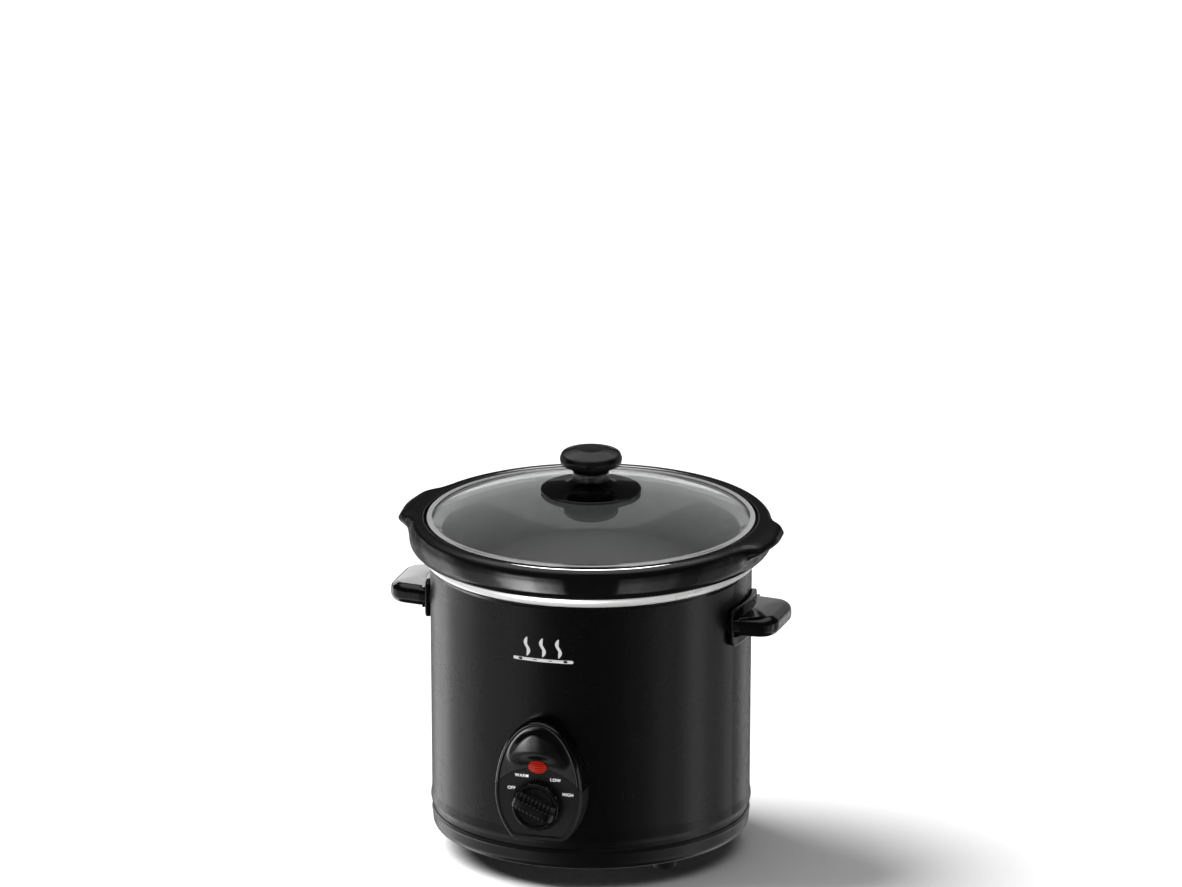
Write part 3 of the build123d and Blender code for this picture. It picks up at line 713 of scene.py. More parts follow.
@dataclass
class SideHandle:
    """Tab grip with its back plate; it is drawn on the +X side and turned for the other one."""

    side: Side
    drum: Drum
    plate_middle: float = 167.75
    plate_height: float = 26.5
    plate_thick: float = 3.8
    half_width: float = 28.0
    grip_top: float = 176.0
    grip_thick: float = 14.0
    tip: float = 135.5
    corner: float = 18.0
    edge: float = 5.8

    def plate(self) -> Shape:
        """Rounded pad wrapped on the drum.

        A slab on the flat, with a along the wrap and b upwards, is bent so that a becomes the angle a / R and
        the slab's height becomes the radius.

        Returns:
            The plate on the +X side.
        """
        half, tall = self.half_width, self.plate_height / 2
        outline = rounded([(-half, -tall, 6), (half, -tall, 6), (half, tall, 6), (-half, tall, 6)], run=2.5)
        flat = slab(outline, edge_section(0, self.plate_thick, 1.3), rings=10)
        base_r = self.drum.radius(self.plate_middle)
        angles = flat.points[:, 0] / (base_r + self.plate_thick / 2)
        radii = base_r + flat.points[:, 2]
        heights = flat.points[:, 1] + self.plate_middle
        bent = np.column_stack([radii * np.cos(angles), radii * np.sin(angles), heights])
        return Shape(bent, flat.quads, flat.tris).outward()

    def grip(self) -> Shape:
        """Flat tab: rounded plan, round edges and a slight crown on both faces.

        Returns:
            The grip on the +X side.
        """
        root, end, tip = self.half_width - 0.6, self.half_width - 3.4, self.tip
        outline = rounded([
            (104, -root, 0), (112, -root, 6), (tip, -end, self.corner), (tip, end, self.corner),
            (112, root, 6), (104, root, 0),
        ], arc_steps=20, run=3)
        low = self.grip_top - self.grip_thick
        return slab(outline, edge_section(low, self.grip_top, self.edge, 10), crown=0.6, rings=8)

    def build(self) -> None:
        """Adds the handle on its side."""
        turn = np.diag([self.side.value, self.side.value, 1.0])
        both = (self.plate() + self.grip()).placed(turn)
        name = f"{self.side.name.lower()}_tab_grip"
        node = f"handle_{self.side.name.lower()}"
        add_piece(name, both.mesh(name), Body.BASE, PHENOLIC, (node,))


@dataclass
class ControlPanel:
    """Egg-shaped panel: glossy domed upper cover, satin lower cover, window and printed words."""

    drum: Drum
    face: float = 118.5
    bottom: float = 37.5
    widest: float = 69.5
    top: float = 120.5
    half_width: float = 30.5
    foot_half: float = 18.5
    bezel: float = 3.4
    inner_bezel: float = 1.2
    shoulder: float = 4.2
    recess: float = 0.8
    sunk: float = 0.3
    dome: float = 2.6
    dome_middle: float = 103.5
    split_r: float = 39.0
    split_z: float = 49.0
    seam: float = 0.35
    dial_z: float = 62.5
    dial_well_r: float = 17.7
    lens_z: float = 89.0
    lens_half: tuple[float, float] = (6.5, 4.5)
    words: tuple[tuple[str, float, float], ...] = (
        ("OFF", -18.4, 10.2), ("WARM", -11.2, 19.4), ("LOW", 12.3, 18.2), ("HIGH", 21.0, 8.8),
    )
    word_height: float = 2.1
    word_spacing: float = 1.08
    ink: float = 0.1
    ink_spread: float = 0.02
    ink_clear: float = 0.03

    def outline(self) -> np.ndarray:
        """Closed anticlockwise egg: half an ellipse above, two tangent arcs and a flat foot below.

        Returns:
            Rows of (x, z).
        """
        crown = np.column_stack([
            self.half_width * np.cos(turn := np.radians(np.linspace(0, 180, 97))),
            self.widest + (self.top - self.widest) * np.sin(turn),
        ])
        drop, inward = self.widest - self.bottom, self.half_width - self.foot_half
        cheek_r = (inward**2 + drop**2) / (2 * inward)
        end = math.degrees(math.asin(drop / cheek_r))
        left = arc((-self.half_width + cheek_r, self.widest), cheek_r, 180, 180 + end * 0.8, 26)[1:]
        right = arc((self.half_width - cheek_r, self.widest), cheek_r, -end * 0.8, 0, 26)[:-1]
        foot = rounded([(*left[-1], 0), (-self.foot_half, self.bottom, 8), (self.foot_half, self.bottom, 8),
                        (*right[0], 0)], closed=False, run=1.5)
        return np.vstack([crown, left, foot[1:-1], right])

    def on_drum(self, spots: np.ndarray) -> np.ndarray:
        """Rows of (x, z) laid on the drum, sunk a little into it: the root of R^2 - x^2 out along -Y."""
        return np.column_stack([spots, np.sqrt(self.drum.shell_bottom_r**2 - spots[:, 0] ** 2) - self.sunk])

    def body(self) -> Shape:
        """Closed housing in a, b, out axes, before it is parted.

        Loops run from the drum's face up the side, over the round bezel and down to the sunken face, then in
        to the middle. The upper face swells by a cosine bump that fades to nothing at the parting circle. The
        back is the same outline drawn in on the drum's curve.

        Returns:
            The housing.
        """
        outline = self.outline()
        middle = np.array([0.0, 76.0])
        lip, crest = self.face - self.shoulder, self.bezel - self.inner_bezel
        side = [(0.0, height) for height in np.linspace(lip - 4.5, lip, 5)]
        outer = [(crest * (1 - math.cos(t)), lip + self.shoulder * math.sin(t))
                 for t in np.linspace(0.08, math.pi / 2, 14)]
        inner = [(crest + self.inner_bezel * math.sin(t), self.face - self.recess * (1 - math.cos(t)))
                 for t in np.linspace(0.0, math.pi / 2, 8)][1:]
        loops = [self.on_drum(outline)]
        loops += [lifted(inset_loop(outline, inset), height) for inset, height in side[1:] + outer + inner]
        edge = inset_loop(outline, self.bezel)
        for scale in np.linspace(1, 0, 40)[1:-1]:
            ring = middle + (edge - middle) * scale
            loops.append(np.column_stack([ring, self.face_height(ring, 1 - scale)]))
        back = [self.on_drum(middle + (outline - middle) * scale) for scale in np.linspace(1, 0, 12)[1:-1]]
        low_pole = self.on_drum(middle[None])[0]
        high_pole = np.append(middle, self.face_height(middle[None], 1.0))
        return skin(np.array(back[::-1] + loops), wrap_rows=False, poles=(low_pole, high_pole))

    def face_height(self, spots: np.ndarray, inwards: float) -> np.ndarray:
        """Height of the face inside the bezel.

        Args:
            spots: (x, z) rows.
            inwards: 0 at the bezel, 1 in the middle of the panel.

        Returns:
            The distance out along -Y.
        """
        beyond = np.hypot(spots[:, 0], spots[:, 1] - self.split_z) - self.split_r
        away = np.hypot(spots[:, 0] / 25.0, (spots[:, 1] - self.dome_middle) / 21.0)
        swell = np.cos(np.clip(away, 0, 1) * math.pi / 2) * smoothstep((beyond - 1.0) / 11.0)
        return self.face - self.recess + self.dome * swell * smoothstep(np.full(len(spots), inwards * 6))

    def cutter(
        self, radius: float, low: float, high: float, x: float, z: float, squash: float = 1.0
    ) -> Shape:
        """Round or oval plug along the panel's axis, for cutting with.

        Args:
            radius: Half width.
            low: Inner end, measured out along -Y.
            high: Outer end.
            x: Sideways place.
            z: Height.
            squash: Height over width.

        Returns:
            The plug, placed.
        """
        turn = np.radians(np.linspace(0, 360, 144, endpoint=False))
        loop = np.column_stack([x + radius * np.cos(turn), z + radius * squash * np.sin(turn)])
        return slab(loop, np.array([[0, low], [0, high]]), rings=3).placed(FRONT)

    def carve(self, name: str, shape: Shape, cuts: list[tuple[str, Shape]]) -> bpy.types.Mesh:
        """Boolean cuts worked out on the spot, so that no modifier stays on the piece.

        Args:
            name: Name of the finished mesh.
            shape: What is cut.
            cuts: (operation, tool) pairs in order.

        Returns:
            The finished mesh.
        """
        work = in_scene(f"{name}_work", shape.mesh(f"{name}_work"))
        tools = []
        for number, (operation, tool) in enumerate(cuts):
            cutter = in_scene(f"{name}_tool_{number}", tool.mesh(f"{name}_tool_{number}"))
            modifier = work.modifiers.new("cut", "BOOLEAN")
            modifier.operation, modifier.solver, modifier.object = operation, "EXACT", cutter
            tools.append(cutter)
        evaluated = work.evaluated_get(bpy.context.evaluated_depsgraph_get())
        mesh = bpy.data.meshes.new_from_object(evaluated)
        mesh.name = name
        for used in [work, *tools]:
            bpy.data.objects.remove(used)
        mesh.shade_smooth()
        mesh.set_sharp_from_angle(angle=SHARP_ANGLE)
        return mesh

    def covers(self) -> None:
        """Adds the two covers, parted on the circle with a fine seam between them."""
        body = self.body().placed(FRONT)
        deep = 90.0
        upper_tool = self.cutter(self.split_r + self.seam / 2, deep, 140, 0, self.split_z)
        lower_tool = self.cutter(self.split_r - self.seam / 2, deep, 140, 0, self.split_z)
        wide, tall = self.lens_half
        window = self.cutter(wide - 0.2, 100, 140, 0, self.lens_z, tall / wide)
        dial_well = self.cutter(self.dial_well_r, self.face - self.recess - 1.1, 140, 0, self.dial_z)
        upper = self.carve("upper_cover_dome", body, [("DIFFERENCE", upper_tool), ("DIFFERENCE", window)])
        lower = self.carve("lower_cover_plate", body,
                           [("INTERSECT", lower_tool), ("DIFFERENCE", window), ("DIFFERENCE", dial_well)])
        for mesh, finish, slot, node in (
            (upper, GLOSS_ABS, "gloss_black_abs", "control_cover_upper"),
            (lower, SATIN_ABS, "satin_black_abs", "control_cover_lower"),
        ):
            add_piece(mesh.name, mesh, Body.BASE, finish, (node,))

    def window(self) -> None:
        """Adds the oval window: a slug whose front is a low dome."""
        turn = np.radians(np.linspace(0, 360, 96, endpoint=False))
        wide, tall = self.lens_half
        loop = np.column_stack([wide * np.cos(turn), self.lens_z + tall * np.sin(turn)])
        section = edge_section(self.face - 4.0, self.face + 0.6, 0.8, 6)
        shape = slab(loop, section, crown=0.8, rings=12).placed(FRONT)
        add_piece("window_dome", shape.mesh("window_dome"), Body.BASE, LENS, ("indicator_lens",))

    def print_words(self) -> None:
        """Adds the plain setting words round the dial, as thin raised ink."""
        for word, aside, above in self.words:
            curve = bpy.data.curves.new(f"ink_{word.lower()}", "FONT")
            curve.body, curve.align_x, curve.align_y = word, "CENTER", "CENTER"
            curve.size, curve.space_character = self.word_height * CAPITAL_SIZE, self.word_spacing
            curve.extrude, curve.offset, curve.resolution_u = self.ink / 2, self.ink_spread, 6
            text = in_scene("words_work", curve)
            evaluated = text.evaluated_get(bpy.context.evaluated_depsgraph_get())
            mesh = bpy.data.meshes.new_from_object(evaluated)
            mesh.name = curve.name
            bpy.data.objects.remove(text)
            flat = np.empty(len(mesh.vertices) * 3)
            mesh.vertices.foreach_get("co", flat)
            shift = [aside, self.dial_z + above, self.face - self.recess + self.ink_clear]
            placed = (flat.reshape(-1, 3) + shift) @ FRONT.T * MM
            mesh.vertices.foreach_set("co", placed.ravel())
            mesh.update()
            add_piece(mesh.name, mesh, Body.BASE, INK)

    def build(self) -> None:
        """Adds the panel's pieces."""
        self.covers()
        self.window()
        self.print_words()


@dataclass
class WarmthMark:
    """Plain printed sign on the drum: three wisps of steam over a bar."""

    drum: Drum
    middle: float = 166.5
    wisps: tuple[float, ...] = (-11.0, 0.0, 11.0)
    wisp_height: float = 13.0
    wisp_sway: float = 1.3
    wisp_half: float = 1.2
    wisp_foot: float = -4.0
    bar_half: float = 21.0
    bar_low: float = -7.5
    bar_thick: float = 2.2
    bar_corner: float = 0.99
    ink: float = 0.08
    clear: float = 0.02

    def wisp(self, place: float) -> Shape:
        """Tapered ribbon round a sine: its half width is a half wave over its height.

        Args:
            place: Sideways place of its middle.

        Returns:
            The flat ribbon.
        """
        climb = np.linspace(0, 1, 41)
        middle = place + self.wisp_sway * np.sin(climb * 2 * math.pi)
        half = self.wisp_half * (0.25 + 0.75 * np.sin(climb * math.pi) ** 0.6)
        height = climb * self.wisp_height + self.wisp_foot
        right, left = np.column_stack([middle + half, height]), np.column_stack([middle - half, height])
        return slab(np.vstack([right, left[::-1]]), np.array([[0, 0.0], [0, self.ink]]), rings=2)

    def build(self) -> None:
        """Bends the flat sign on the drum: a sideways length becomes the angle length / radius."""
        half, low, high, corner = self.bar_half, self.bar_low, self.bar_low + self.bar_thick, self.bar_corner
        outline = rounded(
            [(-half, low, corner), (half, low, corner), (half, high, corner), (-half, high, corner)], run=1.5
        )
        flat = slab(outline, np.array([[0, 0.0], [0, self.ink]]), rings=2)
        for place in self.wisps:
            flat = flat + self.wisp(place)
        heights = flat.points[:, 1] + self.middle
        base_r = self.drum.radius(heights)
        angles = flat.points[:, 0] / base_r - math.pi / 2
        radii = base_r + flat.points[:, 2] + self.clear
        bent = np.column_stack([radii * np.cos(angles), radii * np.sin(angles), heights])
        shape = Shape(bent, flat.quads, flat.tris).outward()
        add_piece("warmth_mark", shape.mesh("warmth_mark"), Body.BASE, SILVER_INK)


@dataclass
class Dial:
    """Round dial with a raised grip bar, drawn facing out and pointing up, then leaned to OFF."""

    z: float = 62.5
    back: float = 118.6
    front: float = 133.0
    radius: float = 16.5
    disc: float = 6.0
    bar_half: float = 7.6
    sunk: float = 3.6
    lean: float = 67.5
    grooves: int = 11
    groove_depth: float = 0.2

    def disc_shape(self) -> Shape:
        """Disc with a dished front and a rounded rim.

        Returns:
            The disc, facing up.
        """
        section = rounded([
            (0, 0, 0), (self.radius - 0.3, 0, 0.4), (self.radius, 1.2, 0.4),
            (self.radius - 0.5, self.disc, 1.4),
            (self.radius - 2.6, self.disc - 0.1, 0.8), (self.radius - 3.6, self.disc - 0.9, 1.2),
            (0, self.disc - 1.3, 0),
        ], closed=False)
        return lathe(section, 144)

    def bar_shape(self) -> Shape:
        """Wedge-shaped grip bar with finger grooves along both flanks.

        A tapered section is carried along the bar. At each station its width shrinks to stay inside the disc,
        its height falls away at both ends, and squared cosines bite grooves that deepen towards the ridge.

        Returns:
            The bar, facing up.
        """
        tall = self.front - self.back - self.sunk
        ridge, root = self.bar_half * 0.42, self.bar_half
        section = rounded([(-root, 0, 0), (-ridge, tall, 1.3), (ridge, tall, 1.3), (root, 0, 0)],
                          closed=False, arc_steps=6, run=0.9)
        along = np.linspace(-1, 1, 201)
        length = self.radius - 0.7
        room = np.sqrt(np.maximum(length**2 - (along * length) ** 2, 0.4)) / root
        width = np.minimum(1.0, room)
        height = np.maximum(1 - np.abs(along) ** 7, 0.0) ** 0.5 * 0.985 + 0.015
        ripple = np.cos(along * math.pi * self.grooves / 2) ** 2
        groove = self.groove_depth * ripple * smoothstep((0.86 - np.abs(along)) / 0.1)
        rise = section[:, 1:] / tall
        x = section[:, :1] * width[None] * (1 - groove[None] * smoothstep((rise - 0.25) / 0.6))
        y = np.broadcast_to(along * length, x.shape)
        z = self.sunk + section[:, 1:] * height[None]
        top = np.stack([x, y, z], axis=-1)
        under = np.stack([x[::-1], y, np.full(x.shape, self.sunk - 0.8)], axis=-1)[[0, -1]]
        grid = np.concatenate([top, under]).transpose(1, 0, 2)
        return skin(grid, wrap_rows=False, poles=(grid[0].mean(axis=0), grid[-1].mean(axis=0)))

    def build(self) -> None:
        """Adds the dial, leaned to its OFF mark."""
        cosine, sine = math.cos(math.radians(self.lean)), math.sin(math.radians(self.lean))
        tilt = np.array([[cosine, -sine, 0], [sine, cosine, 0], [0, 0, 1]])
        whole = (self.disc_shape() + self.bar_shape()).placed(tilt, (0, self.z, self.back)).placed(FRONT)
        add_piece("dial_face", whole.mesh("dial_face"), Body.DIAL, DIAL_ABS, ("control_dial",))


# ---------------------------------------------------------------- crock and lid


@dataclass
class Crock:
    """Glazed pot whose flange grows two lugs; heights are measured from its crest."""

    crest: float = 228.3
    height: float = 171.7
    wall: float = 6.5
    foot_r: float = 78.2
    slope: float = 0.148
    flange_r: float = 122.0
    lug_r: float = 131.5
    lug_root: float = 113.0

    def section(self) -> np.ndarray:
        """Path from the underside's middle, up the outside, over the crest and down to the inner floor.

        Returns:
            Rows of (r, z).
        """
        high, low = self.crest, self.crest - self.height
        neck_r = self.foot_r + self.slope * (self.height - 38.5)
        outside = [
            (0, low + 1.2, 0), (42, low + 1.2, 1.5), (45, low, 1.5), (self.foot_r, low, 29),
            (neck_r, high - 38.5, 1.2), (98.0, high - 36.6, 1.4), (98.3, high - 26.2, 1.6),
            (105.0, high - 25.2, 1.2), (106.2, high - 23.5, 0.8), (112.5, high - 23.5, 2.5),
            (120.8, high - 19.5, 8), (self.flange_r, high - 9.0, 22), (119.4, high, 6),
            (112.0, high, 1.2), (110.9, high - 5.8, 0.8), (103.5, high - 5.8, 1.6), (98.6, high - 9.4, 2.6),
            (91.4, high - 38, 9), (self.foot_r - self.wall, low + 8, 24), (0, low + 8, 0),
        ]
        return rounded(outside, closed=False, arc_steps=12, run=10)

    def lug_weight(self, angles: np.ndarray) -> np.ndarray:
        """How far the flange is drawn out at each angle: 0 on the plain flange, 1 at the lug's tip.

        The plan is a rounded tab with hollow flanks, read as a radius for each angle from the nearer of +X
        and -X.

        Args:
            angles: Bearings in radians.

        Returns:
            A weight for each angle.
        """
        plan = rounded([
            (112.4, -48.0, 0), (114.2, -43.0, 14), (120.0, -33.0, 12), (129.2, -26.0, 20), (132.6, 0, 60),
            (129.2, 26.0, 20), (120.0, 33.0, 12), (114.2, 43.0, 14), (112.4, 48.0, 0),
        ], closed=False, arc_steps=16, run=2)
        bearing = np.arctan2(plan[:, 1], plan[:, 0])
        folded = (angles + math.pi / 2) % math.pi - math.pi / 2
        reach = np.interp(folded, bearing, np.hypot(plan[:, 0], plan[:, 1]))
        return np.clip((reach - self.flange_r) / (self.lug_r - self.flange_r), 0, None)

    def angles(self) -> np.ndarray:
        """Bearings round the pot, closer together where the lugs are.

        Returns:
            Radians, through one turn.
        """
        fine = np.radians(np.linspace(-28, 28, 113))
        coarse = np.radians(np.linspace(28, 152, 76)[1:-1])
        half_turn = np.concatenate([fine, coarse])
        return np.concatenate([half_turn, half_turn + math.pi])

    def shape(self) -> Shape:
        """Revolved section, drawn out into lugs.

        A point moves out by the lug's weight times its reach, times its share of the way across the flange,
        times an ease that dies away below the lug's thickness.

        Returns:
            The closed pot.
        """
        path = self.section()
        angles = self.angles()
        radii, heights = path[1:-1, :1], path[1:-1, 1:]
        drop = heights - self.crest
        across = np.clip((radii - self.lug_root) / (self.flange_r - self.lug_root), 0, 1) ** 0.8
        thick = smoothstep((drop + 12.5) / 6.5)
        past_widest = (np.arange(len(radii)) > np.argmax(radii))[:, None]
        inside = past_widest & (radii < self.lug_root)
        pull = np.where(inside, 0.0, across * thick) * (self.lug_r - self.flange_r)
        reach = radii + pull * self.lug_weight(angles)[None]
        return skin(revolve(reach, heights, angles), wrap_rows=False, poles=axis_ends(path))

    def build(self) -> None:
        """Adds the pot."""
        mesh = self.shape().mesh("stoneware_pot")
        add_piece("stoneware_pot", mesh, Body.CROCK, GLAZE, ("crock",))


@dataclass
class Lid:
    """Domed glass, folded band, guard and mushroom knob; heights are measured from the band's top."""

    rim_top: float = 228.4
    rim_r: float = 110.1
    rim_height: float = 5.6
    dome_r: float = 280.0
    dome_rise: float = 20.0
    glass: float = 3.2
    knob_rise: float = 47.4

    def dome(self, radii: np.ndarray, depth: float) -> np.ndarray:
        """Height of a sphere's cap at each radius: centre + sqrt((R - depth)^2 - r^2)."""
        centre = self.rim_top + self.dome_rise - self.dome_r
        return centre + np.sqrt((self.dome_r - depth) ** 2 - radii**2)

    def pane(self) -> Shape:
        """Glass between two concentric spheres, with a ground round edge and a centre hole.

        Returns:
            The closed pane.
        """
        out = np.linspace(4.0, 107.0, 60)
        top = np.column_stack([out, self.dome(out, 0)])
        under = np.column_stack([out[::-1], self.dome(out[::-1], self.glass)])
        return lathe(np.vstack([top, [[107.4, top[-1, 1] - 0.6]], [[107.4, under[0, 1] + 0.6]], under]), 224)

    def band(self) -> Shape:
        """Strip folded over the glass: flat outside, with round shoulders.

        Returns:
            The closed ring.
        """
        low, high, r = self.rim_top - self.rim_height, self.rim_top, self.rim_r
        section = rounded([
            (105.4, low, 0.2), (r - 0.5, low, 1.2), (r, low + 1.6, 1.2), (r, high - 1.6, 1.2),
            (r - 0.6, high, 1.2), (106.4, high, 0.4), (106.0, high - 0.6, 0.2), (r - 1.4, high - 0.9, 0.3),
            (r - 1.4, low + 0.5, 0.3), (105.4, low + 0.5, 0.2),
        ], run=1.2)
        return lathe(section, 256)

    def guard(self) -> Shape:
        """Flared skirt: thin outer lip, hollow cone rising to a collar.

        Returns:
            The closed ring.
        """
        top = self.rim_top
        section = rounded([
            (2.7, top + 22.0, 0), (11.5, top + 21.4, 0.5), (31.6, top + 18.5, 0.6), (33.0, top + 17.8, 0.5),
            (33.9, top + 18.4, 0.6), (33.6, top + 19.6, 0.8), (17.0, top + 23.0, 9), (12.9, top + 25.3, 0.6),
            (12.4, top + 25.5, 0.2), (2.7, top + 25.5, 0),
        ], run=3)
        return lathe(section, 160)

    def knob(self) -> Shape:
        """Mushroom: straight neck, flared underside, rounded rim and a domed crown with a dished middle.

        Returns:
            The closed knob.
        """
        top, crown = self.rim_top, self.rim_top + self.knob_rise
        section = rounded([
            (0, top + 25.6, 0), (12.1, top + 25.6, 0.4), (12.3, top + 34.8, 4.5), (20.2, top + 36.6, 2.2),
            (20.9, top + 40.6, 2.6), (19.6, top + 44.4, 2.6), (13.0, crown - 0.9, 8), (9.4, crown - 0.2, 1.2),
            (0, crown - 0.35, 0),
        ], closed=False, arc_steps=12, run=2.5)
        return lathe(section, 160)

    def build(self) -> None:
        """Adds the lid's pieces."""
        for name, shape, finish, slot, node in (
            ("glass_dome", self.pane(), LID_GLASS, "lid_glass", "lid_glass"),
            ("folded_band", self.band(), STAINLESS, "stainless_rim", "lid_rim"),
            ("knob_guard", self.guard(), PHENOLIC, "knob_phenolic", "lid_knob_skirt"),
            ("mushroom_knob", self.knob(), PHENOLIC, "knob_phenolic", "lid_knob"),
        ):
            add_piece(name, shape.mesh(name), Body.LID, finish, (node,))


# ---------------------------------------------------------------- studio


def greys(ramp: bpy.types.ColorRamp, stops: tuple[tuple[float, float], ...], peak: float) -> None:
    """Fills a ramp with smooth greys.

    Args:
        ramp: The ramp.
        stops: (position, strength) pairs in order.
        peak: Strength that stands for white.
    """
    ramp.interpolation = "EASE"
    while len(ramp.elements) < len(stops):
        ramp.elements.new(0.5)
    for element, (place, value) in zip(ramp.elements, stops):
        element.position = place
        element.color = (value / peak, value / peak, value / peak, 1.0)


def shine_on(light: bpy.types.Object, receivers: tuple[str, ...], blockers: tuple[str, ...] = ()) -> None:
    """Limits a light to some pieces, as flags and barn doors do in a studio.

    Args:
        light: Lamp or glowing ring.
        receivers: Names of the pieces that it lights; none for all.
        blockers: Names of the pieces that shade it; none for all.
    """
    for kind, names in (("receiver", receivers), ("blocker", blockers)):
        if names:
            chosen = bpy.data.collections.new(f"{light.name}_{kind}s")
            for name in names:
                chosen.objects.link(bpy.data.objects[name])
            setattr(light.light_linking, f"{kind}_collection", chosen)


@dataclass
class LightRing:
    """Glowing ring round the object, clear except for its glow, whose strength depends on the bearing.

    Attributes:
        name: Object name.
        low: Height of its lower edge in metres.
        high: Height of its upper edge in metres.
        profile: (bearing, strength) stops. Bearings are degrees from the camera's side, positive to the
            picture's right.
        receivers: Pieces that it lights.
        radius: In metres.
        soft: Whether it fades towards its lower and upper edges.
    """

    name: str
    low: float
    high: float
    profile: tuple[tuple[float, float], ...]
    receivers: tuple[str, ...]
    radius: float = 2.2
    soft: bool = False

    def build(self, camera_bearing: float) -> None:
        """Adds the ring: a drum of flat strips, with U running round it and V up it, both from 0 to 1.

        Args:
            camera_bearing: The camera's direction, in degrees from +X.
        """
        first, last = self.profile[0][0], self.profile[-1][0]
        share = np.linspace(0, 1, max(8, round((last - first) / 4)) + 1)
        turn = np.radians(camera_bearing + first + share * (last - first))
        plan = self.radius * np.column_stack([np.cos(turn), np.sin(turn)])
        start = np.arange(len(share) - 1)
        faces = np.column_stack([start, start + 1, start + 1 + len(share), start + len(share)])
        mesh = bpy.data.meshes.new(self.name)
        points = np.vstack([lifted(plan, self.low), lifted(plan, self.high)])
        mesh.from_pydata(points.tolist(), [], faces.tolist())
        places = np.column_stack([np.tile(share, 2), np.repeat([0.0, 1.0], len(share))])[faces.ravel()]
        mesh.uv_layers.new(name="ring").data.foreach_set("uv", places.ravel())
        ring = in_scene(self.name, mesh)
        stops = tuple(((bearing - first) / (last - first), strength) for bearing, strength in self.profile)
        mesh.materials.append(self.glow(stops))
        ring.visible_camera = ring.visible_transmission = ring.visible_shadow = False
        shine_on(ring, self.receivers)

    def glow(self, stops: tuple[tuple[float, float], ...]) -> bpy.types.Material:
        """Emission that follows the stops, over a clear sheet.

        Args:
            stops: (share of the way round, strength) pairs.

        Returns:
            The material.
        """
        peak = max(value for _, value in stops)
        material = bpy.data.materials.new(f"{self.name}_glow")
        material.use_nodes = True
        tree = material.node_tree
        tree.nodes.clear()
        place = add_node(tree, "ShaderNodeTexCoord").outputs["UV"]
        split = add_node(tree, "ShaderNodeSeparateXYZ", links={"Vector": place})
        ramp = add_node(tree, "ShaderNodeValToRGB", links={"Fac": split.outputs["X"]})
        greys(ramp.color_ramp, stops, peak)
        light = add_node(tree, "ShaderNodeEmission", {"Strength": peak}, {"Color": ramp.outputs["Color"]})
        if self.soft:
            fade = add_node(tree, "ShaderNodeValToRGB", links={"Fac": split.outputs["Y"]})
            greys(fade.color_ramp, EDGE_FADE, 1.0)
            strength = add_node(
                tree, "ShaderNodeMath", {1: peak}, {0: fade.outputs["Color"]}, operation="MULTIPLY"
            )
            tree.links.new(strength.outputs["Value"], light.inputs["Strength"])
        clear = add_node(tree, "ShaderNodeBsdfTransparent")
        both = add_node(tree, "ShaderNodeAddShader")
        tree.links.new(light.outputs["Emission"], both.inputs[0])
        tree.links.new(clear.outputs["BSDF"], both.inputs[1])
        add_node(tree, "ShaderNodeOutputMaterial", links={"Surface": both.outputs["Shader"]})
        return material


@dataclass
class Lamp:
    """Square or sun lamp placed by bearing and elevation, with an optional list of pieces that it lights."""

    name: str
    kind: str
    bearing: float
    elevation: float
    power: float
    size: float
    receivers: tuple[str, ...] = ()
    blockers: tuple[str, ...] = ()
    distance: float = 2.0
    aim_z: float = 0.15

    def build(self, camera_bearing: float) -> None:
        """Adds the lamp; a sun's size is its angle in degrees, a square lamp's its side in metres.

        Args:
            camera_bearing: The camera's direction, in degrees from +X.
        """
        data = bpy.data.lights.new(self.name, self.kind)
        data.energy = self.power
        if self.kind == "SUN":
            data.angle = math.radians(self.size)
        else:
            data.shape, data.size = "SQUARE", self.size
        lamp = in_scene(self.name, data)
        turn, rise = math.radians(camera_bearing + self.bearing), math.radians(self.elevation)
        away = np.array([math.cos(turn) * math.cos(rise), math.sin(turn) * math.cos(rise), math.sin(rise)])
        lamp.location = away * self.distance + np.array([0, 0, self.aim_z])
        lamp.rotation_euler = (math.pi / 2 - rise, 0, math.atan2(away[0], -away[1]))
        shine_on(lamp, self.receivers, self.blockers)


WHITE = (1.0, 1.0, 1.0, 1.0)
# How a soft ring fades over its height: (share of the height, share of the strength).
EDGE_FADE = ((0, 0.0), (0.2, 0.5), (0.35, 1.0), (0.6, 1.0), (0.8, 0.4), (1, 0.0))
CROCK_PIECES = ("stoneware_pot",)
KNOB_PIECES = ("knob_guard", "mushroom_knob", "glass_dome")
INK_PIECES = ("ink_off", "ink_warm", "ink_low", "ink_high")
GRIP_PIECES = ("right_tab_grip", "left_tab_grip")
WELL_PIECES = ("well_liner", "rim_bead")
BASE_PIECES = GRIP_PIECES + (
    "shell_skin", "rim_bead", "tray_skin", "foot_front_left_pad", "foot_front_right_pad", "foot_rear_pad",
    "upper_cover_dome", "lower_cover_plate", "window_dome", "dial_face", "warmth_mark", "cord_gland",
)


